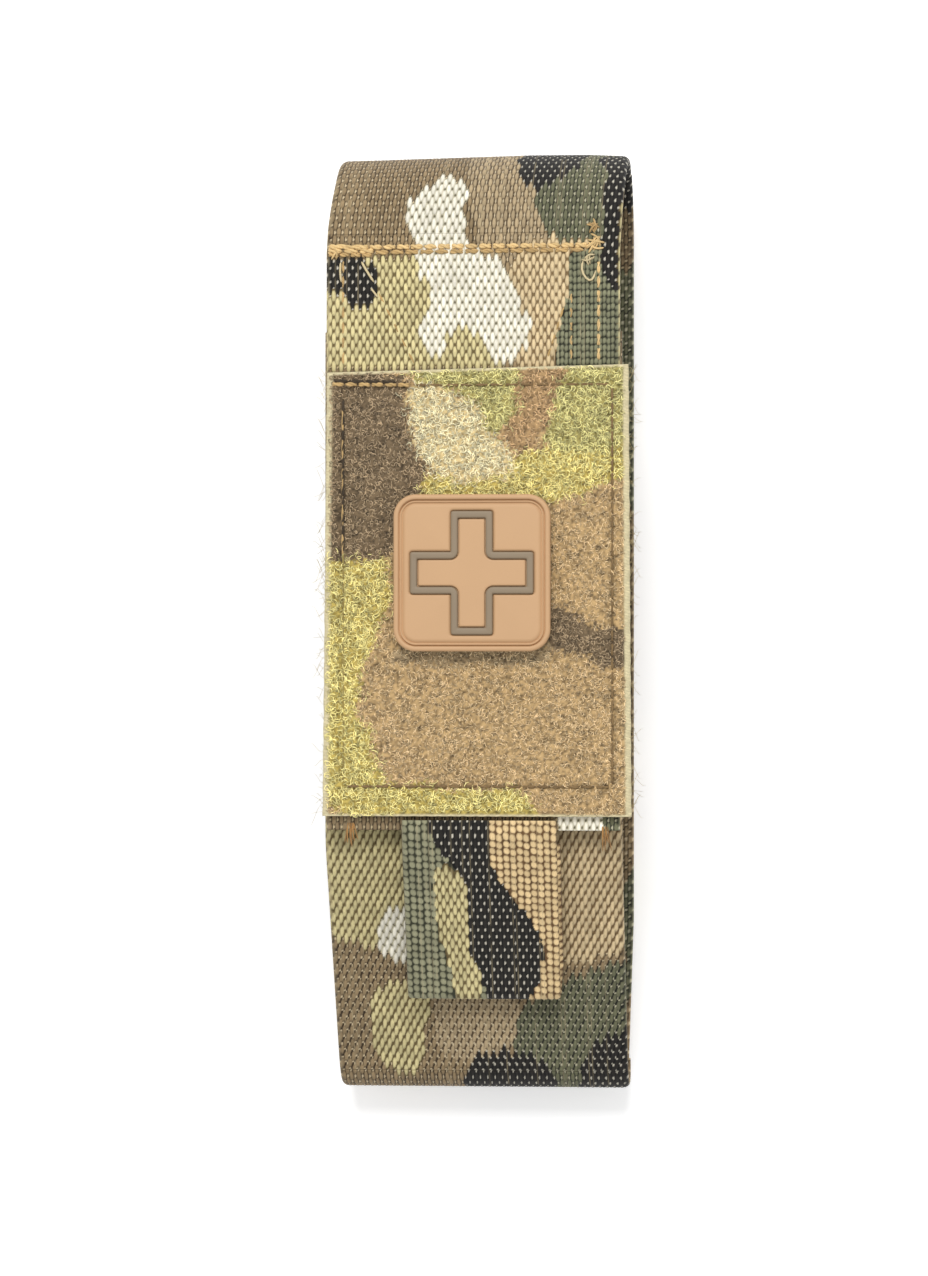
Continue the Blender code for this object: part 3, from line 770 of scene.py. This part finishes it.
def field_lines(x, y):
    """Nearness to the sewn line round the field, from 0 to 1."""
    off = np.minimum.reduce([np.abs(x + 23.2), np.abs(x - 22.8), np.abs(y - 40.5), np.abs(y + 28.0)])
    within = (x > -23.8) & (x < 23.4) & (y > -28.6) & (y < 41.1)
    return np.where(within, unit(1 - off / 0.75), 0)


def field_cloth(u, v):
    """Bumpy ground cloth of the loop field, with bare yarn along its cut sides."""
    ragged = 1.8 * (noise(u, v, 0.4, 21.0) - 0.5)
    region = field_region(u + ragged, v + ragged)
    rough = noise(u, v, 0.34, 3.0) * 0.75 + noise(u, v, 0.9, 4.0) * 0.25
    # Colour follows height: the ground's low spots and the grooves between bare yarns are darker,
    # painted shade between the loops.
    colour = FIELD_GROUND[region] * np.clip(0.12 + 1.7 * rough, 0.2, 1.5)[..., None]
    yarns = 0.5 + 0.5 * np.cos(2 * PI * (v + 0.15 * np.sin(u * 3)) / 0.55)
    bare = unit((-24.6 - u) / 0.3) + unit((u - 24.6) / 0.3)
    bare = unit(bare + unit((v - 42.7) / 0.3) + unit((-32.6 - v) / 0.3))
    pale = linear(242, 228, 184) * (0.72 + 0.4 * yarns * noise(u, v, 0.5, 8.0))[..., None]
    colour = colour * (1 - bare[..., None]) + pale * bare[..., None]
    height = rough * (1 - bare) + yarns * bare * 0.5 - 0.6 * field_lines(u, v)
    return height, colour


def field_spread(x, y, z):
    """The field's cut edges widen a little from the top down, and wander."""
    down = unit((FIELD_Y[1] - y) / FIELD_LONG)
    left = 0.35 + 0.75 * down + 0.04 * np.sin(y * 1.3)
    right = -0.2 + 0.5 * down + 0.04 * np.sin(y * 1.7)
    t = np.clip(x / 25.75, -1, 1)
    return x + np.where(t < 0, -t * t * left, t * t * right), y + 0.6 * t * (1 - down), z


def curls(name, x, y, z, size, thick, colours, random, flat=1.0):
    """Looped pile: each thread rises, turns over and dips back into the cloth."""
    many = len(x)
    turn = np.linspace(-0.45, 1.45, 8) * PI
    heading = random.uniform(0, 2 * PI, many)
    tilt = random.uniform(0.15, 1.15, many) * flat
    c, s = np.cos(heading), np.sin(heading)
    first = np.stack([c, s, np.zeros(many)], -1)
    second = np.stack([-s * np.cos(tilt), c * np.cos(tilt), np.sin(tilt)], -1)
    radius = (size * random.uniform(0.65, 1.3, many))[:, None, None]
    squeeze = random.uniform(0.6, 1.0, many)[:, None, None]
    over, up = np.cos(turn)[None, :, None], np.sin(turn)[None, :, None]
    loops = radius * (over * first[:, None] + up * second[:, None] * squeeze)
    centres = np.stack([x, y, z + random.uniform(0, 0.3, many)], -1)
    tone = random.uniform(0.4, 1.4, many)[:, None, None]
    # Each loop is darker where it dips into the pile: painted shade.
    painted_loop_shade = (0.6 + 0.45 * np.sin(np.clip(turn, 0, PI)))[None, :, None]
    return tubes(name, centres[:, None] + loops, thick, colours[:, None] * tone * painted_loop_shade, sides=3)


def loop_field():
    """The loop field: ground cloth, its pile in three pieces, and fibres along its edges."""
    path = Path([(FIELD_Y[0], FIELD_Z), (FIELD_Y[1], FIELD_Z)], 0.2, FIELD_Y[0])
    ground = webbing("loop_field_cloth", path, FIELD_WIDTH, 1.0, None, relief=0.3, across=0.2,
                     plain=field_cloth, bend=field_spread)
    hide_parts("flap_loop_field")
    random = np.random.default_rng(7)
    x, y = random.uniform(-25.1, 24.7, CURLS), random.uniform(-32.8, 42.9, CURLS)
    hidden = (np.abs(x - PATCH_AT[0]) < 12.4) & (np.abs(y - PATCH_AT[1]) < 12.4)
    keep = random.uniform(0, 1, CURLS) > field_lines(x, y) * 0.9
    beside_tab = (y > -32.1) | (np.abs(x - 0.3) > 14.5)
    keep &= beside_tab
    x, y, hidden = x[keep], y[keep], hidden[keep]
    region = field_region(x + random.normal(0, 0.7, len(x)), y + random.normal(0, 0.7, len(x)))
    x, y, _ = field_spread(x, y, 0)
    pieces = [ground]
    for part in range(3):
        chosen = np.arange(len(x)) % 3 == part
        kind = region[chosen]
        size = np.where(hidden[chosen], 0.2, FIELD_CURL[kind])
        thick = np.where(size > 0.4, 0.062, 0.055)
        name = f"loop_field_pile_{part + 1}"
        pile = curls(name, x[chosen], y[chosen], PILE_Z, size, thick, FIELD_TOPS[kind], random)
        pieces.append(pile)
    stray = stray_fibres(random)
    for piece in pieces + [stray]:
        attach(wear(piece, PILE), "flap")


def stray_fibres(random):
    """Loose fibres and yarn ends that stick out past the field's cut sides."""
    side = np.concatenate([np.full(230, -1.0), np.full(150, 1.0)])
    many = len(side)
    y = random.uniform(FIELD_Y[0], FIELD_Y[1], many)
    down = (FIELD_Y[1] - y) / FIELD_LONG
    x = np.where(side < 0, -25.0 - 1.2 * down, 24.8 + 0.6 * down)
    reach = random.uniform(0.2, 1.0, many) ** 2 * 3.2
    t = np.linspace(0, 1, 7)
    swing, lift = random.uniform(-1.6, 1.6, many), random.uniform(-0.5, 0.5, many)
    wave = np.sin(t * PI * 1.6)[None] * swing[:, None] * reach[:, None] * 0.4
    over = x[:, None] + side[:, None] * reach[:, None] * t
    up = 33.9 + lift[:, None] * t * reach[:, None] * 0.3
    points = np.stack([over, y[:, None] + wave, up], -1)
    colours = linear(196, 178, 128) * random.uniform(0.6, 1.1, many)[:, None]
    return tubes("loop_field_fringe", points, 0.035, colours, sides=3)


# ---- patch ----

PATCH_AT = (-0.9, 8.4)
PATCH_HALF = 13.35
ANGLES = np.linspace(0, 2 * PI, 720, endpoint=False)


def polar(angles, reach):
    """Points at these angles and distances."""
    return np.stack([np.cos(angles) * reach, np.sin(angles) * reach], -1)


def square_ring(inset, half=PATCH_HALF, corner=3.8):
    """A rounded square, as one point for each angle."""
    c, s = np.abs(np.cos(ANGLES)), np.abs(np.sin(ANGLES))
    half, corner = half - inset, max(corner - inset, 0.6)
    k = half - corner
    reach = half / np.maximum(c, s)
    b = k * (c + s)
    bend = b + np.sqrt(np.maximum(b * b - 2 * k * k + corner * corner, 0))
    reach = np.where(np.minimum(c, s) * reach > k, bend, reach)
    return polar(ANGLES, reach)


def cross_ring(inset, length=10.5, arm=3.55, outer=0.4, inner=0.12):
    """An equal-armed cross with rounded corners, as one point for each angle."""
    c, s = np.abs(np.cos(ANGLES)), np.abs(np.sin(ANGLES))
    c, s = np.maximum(c, s), np.minimum(c, s) + 1e-9
    length, arm = length - inset, arm - inset
    outer, inner = max(outer - inset, 0.2), inner + inset
    end, side = length / c, arm / s
    reach = np.minimum(end, side)
    x0, y0 = length - outer, arm - outer
    b = x0 * c + y0 * s
    bend = b + np.sqrt(np.maximum(b * b - x0 * x0 - y0 * y0 + outer * outer, 0))
    tip = (reach * c > x0) & (reach * s > y0)
    reach = np.where(tip, bend, reach)
    k = arm + inner
    b = k * (c + s)
    bend = b - np.sqrt(np.maximum(b * b - 2 * k * k + inner * inner, 0))
    reach = np.where((side < end) & (side * c < k), bend, reach)
    return polar(ANGLES, reach)


def closing(rows, count):
    """Quads that join a grid's last row to its first."""
    last = (rows - 1) * count
    j, k = np.arange(count), np.roll(np.arange(count), -1)
    return np.stack([last + j, last + k, k, j], -1)


def rings(name, layers, at=(0, 0), closed=False):
    """A solid through a stack of (outline, z) rings, capped unless it closes on itself."""
    count = len(layers[0][0])
    stack = [np.column_stack([ring + np.array(at), np.full(count, z)]) for ring, z in layers]
    ring = np.arange(count)
    rows = len(layers)
    faces = [grid_faces(rows, count, True)]
    if closed:
        faces.append(closing(rows, count))
    else:
        faces += [ring[::-1][None, :], (ring + (rows - 1) * count)[None, :]]
    ob = new_object(name, np.concatenate(stack), faces)
    for polygon in ob.data.polygons:
        if len(polygon.vertices) > 4:
            polygon.use_smooth = False
    return ob


def patch():
    """The moulded patch: a rimmed square with a double groove, and a cross in a raised outline."""
    rim = [(0.15, 36.1), (0, 36.3), (0, 37.7), (0.12, 37.92), (0.35, 38.05), (0.72, 38.05)]
    rim += [(0.86, 37.9), (0.9, 37.4), (1.08, 37.4), (1.12, 37.84), (1.32, 37.84), (1.38, 37.5)]
    rim += [(1.55, 37.5), (1.65, 37.74), (2.2, 37.76)]
    layers = [(square_ring(inset), z) for inset, z in rim]
    step = [(-0.6, 37.76), (-0.22, 37.74), (-0.16, 37.4), (0.4, 37.3)]
    layers += [(cross_ring(inset), z) for inset, z in step]
    base = rings("patch_base_moulded", layers, PATCH_AT)
    wall = [(0.0, 37.4), (0.0, 37.86), (0.1, 37.98), (0.32, 38.02), (0.86, 38.02), (1.08, 37.96)]
    wall += [(1.16, 37.84), (1.16, 37.4)]
    band = rings("patch_cross_band", [(cross_ring(i), z) for i, z in wall], PATCH_AT, closed=True)
    top = [(1.36, 37.4), (1.36, 37.66), (1.46, 37.76), (1.7, 37.78)]
    fill = rings("patch_cross_centre", [(cross_ring(i), z) for i, z in top], PATCH_AT)
    fit(base, RUBBER, "patch", "tan_moulding", "patch_base")
    fit(band, BAND, "patch", "grey_brown_moulding", "patch_cross_outline")
    fit(fill, RUBBER, "patch", "tan_moulding", "patch_cross_fill")
    fitted = THREAD, "patch", "tan_tape", "patch_hook_backing"
    line = [(-4.1, 35.3), (20.9, 35.3)]
    hooks, path = tape("patch_hook_tape", line, 0.4, (25, 0.6, 0.08, 0.4), tape_cloth, fitted,
                       bend=patch_shift)


def patch_shift(x, y, z):
    """The hook tape lies behind the patch's middle."""
    return x + PATCH_AT[0], y, z


def tape_cloth(u, v):
    """Plain tan tape."""
    height = 0.5 + 0.25 * np.cos(2 * PI * u / 0.8) + 0.25 * np.cos(2 * PI * v / 0.8)
    # Darker where the weave is low: painted shade.
    return height, linear(170, 146, 106) * (0.7 + 0.35 * height)[..., None]


# ---- pull tab ----

TAB_KNEE = -36.5
TAB_END = -64.0
TAB_THICK = 1.2
TAB_WIDTH = 26.5
TAB_LINE = 33.8
TAB_SLOPE = math.radians(21.5)


def pull_tab():
    """A strip folded back on itself, from the field's lower edge down over the front."""
    end_z = TAB_LINE - (TAB_KNEE - TAB_END) * math.tan(TAB_SLOPE)
    half = 0.75
    centre = (TAB_END + math.sin(TAB_SLOPE) * half, end_z - math.cos(TAB_SLOPE) * half)
    turn = arc(centre, half, 111.5, 291.5, 12)
    run = TAB_KNEE - TAB_END - 2.0
    last = turn[-1]
    back = (last[0] + run, last[1] + run * math.tan(TAB_SLOPE))
    start = [(-33.8, TAB_LINE), (TAB_KNEE + 0.6, TAB_LINE), (TAB_KNEE, TAB_LINE - 0.05)]
    path = Path(start + turn + [back], 0.18)
    path.ny, path.nz = -path.ny, -path.nz
    piece = webbing("pull_tab_woven", path, TAB_WIDTH, TAB_THICK, tab_camouflage, across=0.15,
                    seed=4.0, bend=tab_layers, tone=even_tone(0.94))
    fit(piece, WEB, "tab", "camouflage_webbing", "pull_tab")


def tab_layers(x, y, z):
    """The layer behind lies a little to the right of the one in front."""
    front = TAB_LINE - np.clip(TAB_KNEE - y, 0, 40) * math.tan(TAB_SLOPE)
    behind = unit((front - 0.75 - z) / 0.8) * unit((y + 65) / 6)
    return x + 0.55 * behind, y, z


# ---- stitching ----


def thread_run(start, end, pitch, z, twist):
    """Two-ply stitches in a row between two points: a list of curves that dip at each hole."""
    start, end = np.array(start, float), np.array(end, float)
    total = np.linalg.norm(end - start)
    count = max(1, int(round(total / pitch)))
    gap = 0.1
    along = (end - start) / total
    side = np.array([-along[1], along[0]])
    t = np.linspace(0, 1, 9)
    curves = []
    for i in range(count):
        a = (i + gap / 2 + (1 - gap) * t) * total / count
        for ply in (0, PI):
            phase = ply + t * PI * 1.6 + i
            off = np.cos(phase) * twist
            up = np.sin(phase) * twist * 0.7 + z - 0.45 * np.abs(2 * t - 1) ** 4
            flat = start + along * a[:, None] + side * off[:, None]
            curves.append(np.column_stack([flat, up]))
    return curves


TOP = 33.05  # height of the flap's stitches, mm
HIGH = 34.7  # height of the loop field's stitches, mm
GOLD = linear(236, 202, 142)
FADED = linear(206, 172, 116)
DULL = linear(200, 166, 108)
PALE = linear(222, 204, 160)
MID_THREAD = linear(140, 114, 76)
# Near-black thread that stands for the shadow along the loop field's sunken seam: painted shadow.
PAINTED_SHADOW_THREAD = linear(70, 58, 42)
OLIVE_THREAD = linear(164, 146, 84)


def sewing(name, runs, body, loose=(), shorten=None):
    """All the stitches that ride on one body, as one mesh. Each run is
    (start, end, pitch, z, radius, colour)."""
    random = np.random.default_rng(19)
    curves, radii, colours = [], [], []
    for start, end, pitch, z, radius, colour in runs:
        made = thread_run(start, end, pitch, z, twist=radius * 0.8)
        curves += made
        radii += [radius] * len(made)
        colours += [colour * random.uniform(0.82, 1.15) for _ in made]
    for points, radius, colour in loose:
        points = np.array(points, float)
        t = np.linspace(0, len(points) - 1, 9)
        line = np.column_stack([np.interp(t, np.arange(len(points)), points[:, k]) for k in range(3)])
        for _ in range(2):
            line[1:-1] = (line[:-2] + 2 * line[1:-1] + line[2:]) / 4
        curves.append(line)
        radii.append(radius)
        colours.append(colour)
    curves = np.array(curves)
    if shorten is not None:
        curves[..., 1] = shorten(curves[..., 1])
    threads = tubes(name, curves, np.array(radii), np.array(colours), sides=6)
    return fit(threads, THREAD, body, "tan_tape")


def knot(x, y, z, size, count, random, thick, colour):
    """A small tangle of thread."""
    made = []
    for _ in range(count):
        a = random.uniform(0, 2 * PI)
        t = np.linspace(-1, 1, 7)
        bow = random.uniform(-0.5, 0.5)
        mid = random.uniform(-0.4, 0.4, 2) * size
        px = x + mid[0] + np.cos(a) * t * size - np.sin(a) * bow * (1 - t * t) * size
        py = y + mid[1] + np.sin(a) * t * size + np.cos(a) * bow * (1 - t * t) * size
        pz = z + random.uniform(0, 0.5) - 0.5 * t**4
        made.append((np.column_stack([px, py, pz]), thick, colour * random.uniform(0.7, 1.15)))
    return made


def flap_sewing():
    """The flap's sewn rows and box, the rows round the loop field, and loose ends."""
    random = np.random.default_rng(23)
    runs = [
        ((-26.0, 64.85), (18.6, 65.0), 2.35, TOP + 0.1, 0.27, GOLD),
        ((-18.0, 63.95), (18.0, 64.2), 2.6, TOP + 0.06, 0.25, FADED),
        ((-26.1, 64.2), (-18.0, 64.2), 2.6, TOP + 0.16, 0.26, GOLD),
        ((-26.0, 63.6), (-18.4, 63.5), 2.1, TOP + 0.1, 0.24, FADED),
        ((-25.9, 65.1), (-18.8, 64.9), 3.3, TOP + 0.14, 0.24, GOLD),
        ((-23.4, 62.8), (-23.4, 43.9), 2.6, TOP - 0.1, 0.14, FADED),
        ((20.4, 62.3), (20.4, 44.5), 2.5, TOP, 0.17, GOLD),
        ((15.7, 56.9), (15.7, 44.5), 2.6, TOP - 0.14, 0.13, FADED),
        ((-17.5, 57.2), (-11.0, 43.9), 2.7, TOP - 0.1, 0.11, DULL),
        ((14.5, 54.3), (11.6, 44.9), 2.7, TOP - 0.1, 0.11, DULL),
    ]
    loose = [
        ([(-23.8, 62.2, 33.1), (-23.9, 60.6, 33.25), (-23.7, 58.7, 33.1)], 0.2, PALE),
        ([(-20.2, 62.3, 33.1), (-19.4, 60.8, 33.3), (-18.1, 58.7, 33.1)], 0.22, PALE),
        ([(-18.6, 57.6, 33.1), (-18.0, 56.8, 33.2), (-17.4, 56.0, 33.1)], 0.18, PALE),
    ]
    end = [(17.8, 62.3, 33.0), (17.3, 60.8, 33.3), (18.2, 58.9, 33.3), (19.4, 58.4, 33.2)]
    loose.append((end + [(19.9, 60.4, 33.0)], 0.2, PALE))
    loose += knot(19.6, 65.4, 33.0, 1.5, 9, random, 0.18, GOLD)
    loose += knot(19.6, 68.2, 33.0, 1.1, 6, random, 0.16, FADED)
    loose += knot(18.6, 62.6, 33.0, 1.0, 5, random, 0.16, PALE)
    loose += knot(-25.0, 64.0, 33.1, 1.0, 6, random, 0.16, GOLD)
    # round the loop field; the near-black threads stand for the shadow in the sunken seam: painted
    # shadow
    runs += [
        ((-23.2, 38.0), (-23.2, 12.0), 2.4, HIGH, 0.14, PAINTED_SHADOW_THREAD),
        ((-23.3, 37.0), (-23.3, 11.0), 4.9, HIGH, 0.11, FADED),
        ((-23.2, 12.0), (-23.2, -27.6), 2.4, HIGH - 0.14, 0.09, OLIVE_THREAD),
        ((22.8, 40.0), (22.8, -27.6), 2.4, HIGH - 0.05, 0.12, MID_THREAD),
        ((-11.0, 40.5), (22.4, 40.5), 2.5, HIGH - 0.1, 0.12, MID_THREAD),
        ((-22.8, -28.0), (22.4, -28.0), 2.5, HIGH - 0.1, 0.13, MID_THREAD),
        ((-25.2, 40.7), (-11.7, 40.5), 2.4, HIGH + 0.05, 0.22, FADED),
        ((-25.0, 41.2), (-14.0, 41.0), 2.9, HIGH, 0.2, PAINTED_SHADOW_THREAD),
    ]
    low = 33.1
    for x, y in ((-22.0, -34.3), (21.4, -34.8)):
        for i in range(9):
            a = random.uniform(-0.35, 0.35)
            far = random.uniform(2.4, 4.3)
            x1 = x + random.uniform(-0.6, 0.6)
            line = [(x1, y, low), (x1 + a, y - far / 2, low - 0.2), (x1 + 2 * a, y - far, low - 1.0)]
            loose.append((line, 0.09, linear(190, 142, 84) * random.uniform(0.6, 1.1)))
    sewing("flap_stitching", runs, "flap", loose, drawn_in)


# ---- under the flap ----


def closure():
    """The hook panel sewn under the flap, and the loop panel on the front that it closes on."""
    random = np.random.default_rng(31)
    fitted = THREAD, "flap", "tan_tape", "flap_hook_panel"
    line = [(-12.6, 30.65), (63.7, 30.65)]
    panel, path = tape("flap_hook_tape", line, 0.4, (42, 0.66, 0.06, 0.4), tape_cloth, fitted)
    xs, ys = np.meshgrid(np.arange(-19.5, 19.6, 1.3), np.arange(-11.0, 62.1, 1.3))
    x, y = xs.ravel(), ys.ravel()
    lean = np.where(np.round(x / 1.3) % 2 == 0, 1.0, -1.0)
    steps = [(0, 30.36), (0, 30.0), (0.08, 29.82), (0.3, 29.72), (0.46, 29.86)]
    rows = [np.column_stack([x, y + lean * dy, np.full(len(x), z)]) for dy, z in steps]
    tones = linear(176, 150, 108) * random.uniform(0.8, 1.1, len(x))[:, None]
    hooks = tubes("flap_hook_panel_hooks", np.stack(rows, axis=1), 0.09, tones)
    fit(hooks, THREAD, "flap", "tan_tape")
    fitted = PILE, "pouch", "tan_tape", "front_loop_panel"
    line = [(-29.9, 28.65), (47.9, 28.65)]
    ground, path = tape("front_loop_cloth", line, 0.3, (48, 0.6, 0.15, 0.3), loop_panel_cloth, fitted)
    many = 7000
    x, y = random.uniform(-22.6, 22.6, many), random.uniform(-28.6, 46.6, many)
    colours = np.broadcast_to(linear(176, 148, 104), (many, 3))
    size, thick = np.full(many, 0.34), 0.07
    pile = curls("front_loop_pile", x, y, 28.95, size, thick, colours, random, flat=0.5)
    fit(pile, PILE, "pouch", "tan_tape")


def loop_panel_cloth(u, v):
    rough = noise(u, v, 0.5, 6.0)
    # Darker where the cloth is low: painted shade.
    return rough, linear(138, 114, 78) * (0.6 + 0.8 * rough)[..., None]


# ---- belt strap, snap, tourniquet ----


def herringbone(colour):
    """Ribbed webbing of one colour."""

    def weave(u, v):
        lean = np.where(np.floor(u / 3.0) % 2 == 0, 1.0, -1.0)
        height = 0.5 + 0.5 * np.cos(2 * PI * (v + lean * u) / 1.9)
        # Darker between the ribs: painted shade.
        return height, colour * (0.6 + 0.6 * height)[..., None]

    return weave


black_weave = herringbone(linear(50, 50, 53))
belt_weave = herringbone(linear(150, 126, 90))


def black_rib(u, v):
    """Ribbed black elastic or tape."""
    height = 0.5 + 0.5 * np.cos(2 * PI * v / 1.1) * np.cos(2 * PI * u / 1.4)
    # Darker between the ribs: painted shade.
    return height, linear(42, 42, 45) * (0.6 + 0.6 * height)[..., None]


def orange_tape(u, v):
    height = 0.5 + 0.5 * np.cos(2 * PI * v / 1.2)
    # Darker between the ribs: painted shade.
    return height, linear(232, 112, 34) * (0.75 + 0.3 * height)[..., None]


def belt_strap():
    """The belt strap behind the pouch, its sewn end and the box of stitches there."""
    fitted = THREAD, "strap", "tan_tape", "belt_strap"
    line = [(-75.0, 1.6), (41.8, 1.6)]
    strap, path = tape("belt_strap_woven", line, 0.4, (25, 1.3, 0.07, 0.35), belt_weave, fitted)
    fold = [(42.3, 3.25), (56.4, 3.25)] + arc((56.4, 2.42), 0.83, 90, -90, 10) + [(42.3, 1.59)]
    fitted = THREAD, "pouch", "tan_tape", "belt_strap_sewn_end"
    end, path = tape("belt_strap_sewn_woven", fold, 0.35, (25, 1.3, 0.06, 0.35), belt_weave, fitted)
    dark = linear(104, 84, 56)
    box = [(-10.5, 44.0), (10.5, 44.0), (10.5, 56.0), (-10.5, 56.0)]
    lines = [(0, 1), (1, 2), (2, 3), (3, 0), (0, 2), (1, 3)]
    runs = [(box[i], box[j], 2.4, -0.85, 0.16, dark) for i, j in lines]
    threads = sewing("belt_strap_stitching", runs, "pouch")
    threads.data.transform(MIRROR_DOWN)
    threads.data.flip_normals()


MIRROR_DOWN = Matrix.Diagonal((1, 1, -1, 1))
SNAP_Y = -66.0


def lathe(name, profile, body, stands_for):
    """A round piece of the snap, through (radius, z) points."""
    around = np.linspace(0, 2 * PI, 72, endpoint=False)
    ob = rings(name, [(polar(around, radius), z) for radius, z in profile], (0, SNAP_Y))
    fit(ob, METAL, body, "blackened_metal", stands_for)


def snap():
    """The snap's cap and socket on the strap, and its stud and post on the pouch."""
    cap = [(3.0, 0.0), (4.6, 0.06), (5.8, 0.22), (6.6, 0.5), (6.95, 0.78), (7.0, 0.86), (6.6, 0.88)]
    cap += [(1.6, 0.88), (1.35, 1.2), (1.35, 2.2)]
    lathe("snap_cap_domed", cap, "strap", "snap_cap")
    socket = [(5.4, 2.5), (5.5, 2.62), (5.5, 3.05), (5.25, 3.2), (4.0, 3.2), (3.7, 3.08), (3.2, 3.08)]
    lathe("snap_socket_ring", socket, "strap", "snap_socket")
    stud = [(1.9, 2.6), (2.15, 2.72), (2.1, 3.2), (2.0, 3.4)]
    stud += [(4.7, 3.5), (5.0, 3.62), (5.0, 3.82), (4.7, 3.9)]
    lathe("snap_stud_head", stud, "pouch", "snap_stud")
    post = [(1.4, 4.1), (1.4, 5.75), (5.2, 5.8), (5.5, 6.0), (5.5, 6.3), (5.2, 6.55), (2.4, 6.6)]
    lathe("snap_post_flange", post, "pouch", "snap_post")


def yarn(slot, stands_for):
    """What fit() takes for a woven piece of the tourniquet."""
    return BLACK_WEB, "tourniquet", slot, stands_for


def tourniquet():
    """The folded tourniquet: strap in seven layers, its tip and keeper, and the moulded parts."""
    low, high, first, pitch, half = -56.6, 55.6, 7.55, 1.4, 0.7
    line = [(57.0, first), (low, first)]
    for layer in range(1, 7):
        z = first + layer * pitch
        if layer % 2:
            line += arc((low, z - half), half, 270, 90, 6) + [(high, z)]
        else:
            line += arc((high, z - half), half, -90, 90, 6) + [(low, z)]
    size, fitted = (38, 1.05, 0.05, 0.8), yarn("black_webbing", "tq_strap")
    strap, path = tape("tq_strap_folded", line, 0.55, size, black_weave, fitted)
    line, size = [(57.3, 7.8), (63.9, 7.8)], (36, 1.3, 0.06, 0.5)
    fitted = yarn("orange_tip", "tq_strap_tip")
    tip, _ = tape("tq_strap_tip_woven", line, 0.3, size, orange_tape, fitted)
    line, size = [(-15.9, 18.68), (43.9, 18.68)], (20, 0.5, 0.04, 0.4)
    fitted = yarn("black_webbing", "tq_tension_band")
    band, band_path = tape("tq_tension_band_woven", line, 0.4, size, black_rib, fitted)
    keeper = sleeve("tq_keeper_band_woven", 20.0, 6.05, 17.45, -31.5, -25.5, 0.65)
    fit(keeper, *yarn("black_webbing", "tq_keeper_band"))
    for name in ("tq_plate", "windlass_clip", "windlass_rod", "tq_buckle", "windlass_band"):
        ob, is_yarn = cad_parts[name], name == "windlass_band"
        soften = ob.modifiers.new("edges", "BEVEL")
        soften.width = (0.1 if is_yarn else 0.25) * MM
        soften.segments = 2
        soften.limit_method = "ANGLE"
        wear(ob, WINDLASS_YARN if is_yarn else BLACK_PLASTIC)


def sleeve(name, half, z0, z1, y0, y1, thick):
    """A flat band round the strap: a rounded rectangle swept along Y."""
    tall, corner = (z1 - z0) / 2, 1.2
    outline = []
    wide, high = half - corner, tall - corner
    corners = ((wide, high, 0), (-wide, high, 90), (-wide, -high, 180), (wide, -high, 270))
    for cx, cz, start in corners:
        outline += arc((cx, cz), corner, start, start + 90, 6)
    outline = np.array(outline)
    near = outline - np.sign(outline) * thick * 0.95
    rows = [(outline, y) for y in np.linspace(y0 + 0.1, y1 - 0.1, 24)]
    rows = [(near, y0)] + rows + [(near, y1)]
    count = len(outline)
    points = []
    for i, (ring, y) in enumerate(rows):
        rib = 0.06 * math.cos(i * PI) if 0 < i < len(rows) - 1 else 0.0
        grown = ring + np.sign(ring) * (rib - 0.06)
        points.append(np.column_stack([grown[:, 0], np.full(count, y), grown[:, 1] + (z0 + z1) / 2]))
    points = np.concatenate(points)
    faces = [grid_faces(len(rows), count, True), closing(len(rows), count)]
    tone = np.tile(linear(42, 42, 45), (len(points), 1))
    return new_object(name, points, [f[:, ::-1] for f in faces], tone, points)


# ---- stage, lights, camera ----


def stage():
    """A pale floor and soft studio light."""
    floor_mesh = bpy.data.meshes.new("floor")
    work = bmesh.new()
    bmesh.ops.create_grid(work, x_segments=1, y_segments=1, size=6)
    work.to_mesh(floor_mesh)
    work.free()
    floor = bpy.data.objects.new("floor", floor_mesh)
    floor.location.z = -0.0002
    bpy.context.scene.collection.objects.link(floor)
    white, shader = material("floor_white", (0.92, 0.92, 0.92), rough=0.9)
    put(shader, {"Emission Color": (1, 1, 1, 1), "Emission Strength": 0.26})
    floor_mesh.materials.append(white)
    world = bpy.data.worlds.new("studio")
    world.use_nodes = True
    put(world.node_tree.nodes["Background"], {"Color": (1, 1, 1, 1), "Strength": 0.6})
    bpy.context.scene.world = world
    lights = [("key", (-0.02, 0.52, 0.85), 0.4, 6.6), ("fill", (0.2, -0.3, 0.8), 0.9, 1.6)]
    for name, place, size, power in lights:
        light = bpy.data.lights.new(name, "AREA")
        light.size = size
        light.energy = power
        ob = bpy.data.objects.new(name, light)
        ob.location = place
        ob.rotation_euler = (-Vector(place)).to_track_quat("-Z", "Y").to_euler()
        bpy.context.scene.collection.objects.link(ob)


CAMERA_TARGET = Vector((-3.76, -2.67, 20.0)) * MM
CAMERA_TILT = math.radians(5)
CAMERA_AWAY = 0.8
CAMERA_LENS = 130


def camera():
    """The photo's view: from above, leaning a little to the right."""
    data = bpy.data.cameras.new("camera")
    data.sensor_fit = "VERTICAL"
    data.sensor_height = 36
    data.lens = CAMERA_LENS
    data.clip_start = 0.01
    ob = bpy.data.objects.new("camera", data)
    away = Vector((math.sin(CAMERA_TILT), 0, math.cos(CAMERA_TILT)))
    ob.location = CAMERA_TARGET + away * CAMERA_AWAY
    ob.rotation_euler = (0, CAMERA_TILT, 0)
    bpy.context.scene.collection.objects.link(ob)
    bpy.context.scene.camera = ob
    bpy.context.scene.view_settings.view_transform = "Standard"


for made in build_strip():
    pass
loop_field()
patch()
pull_tab()
flap_sewing()
closure()
belt_strap()
snap()
tourniquet()
stage()
camera()
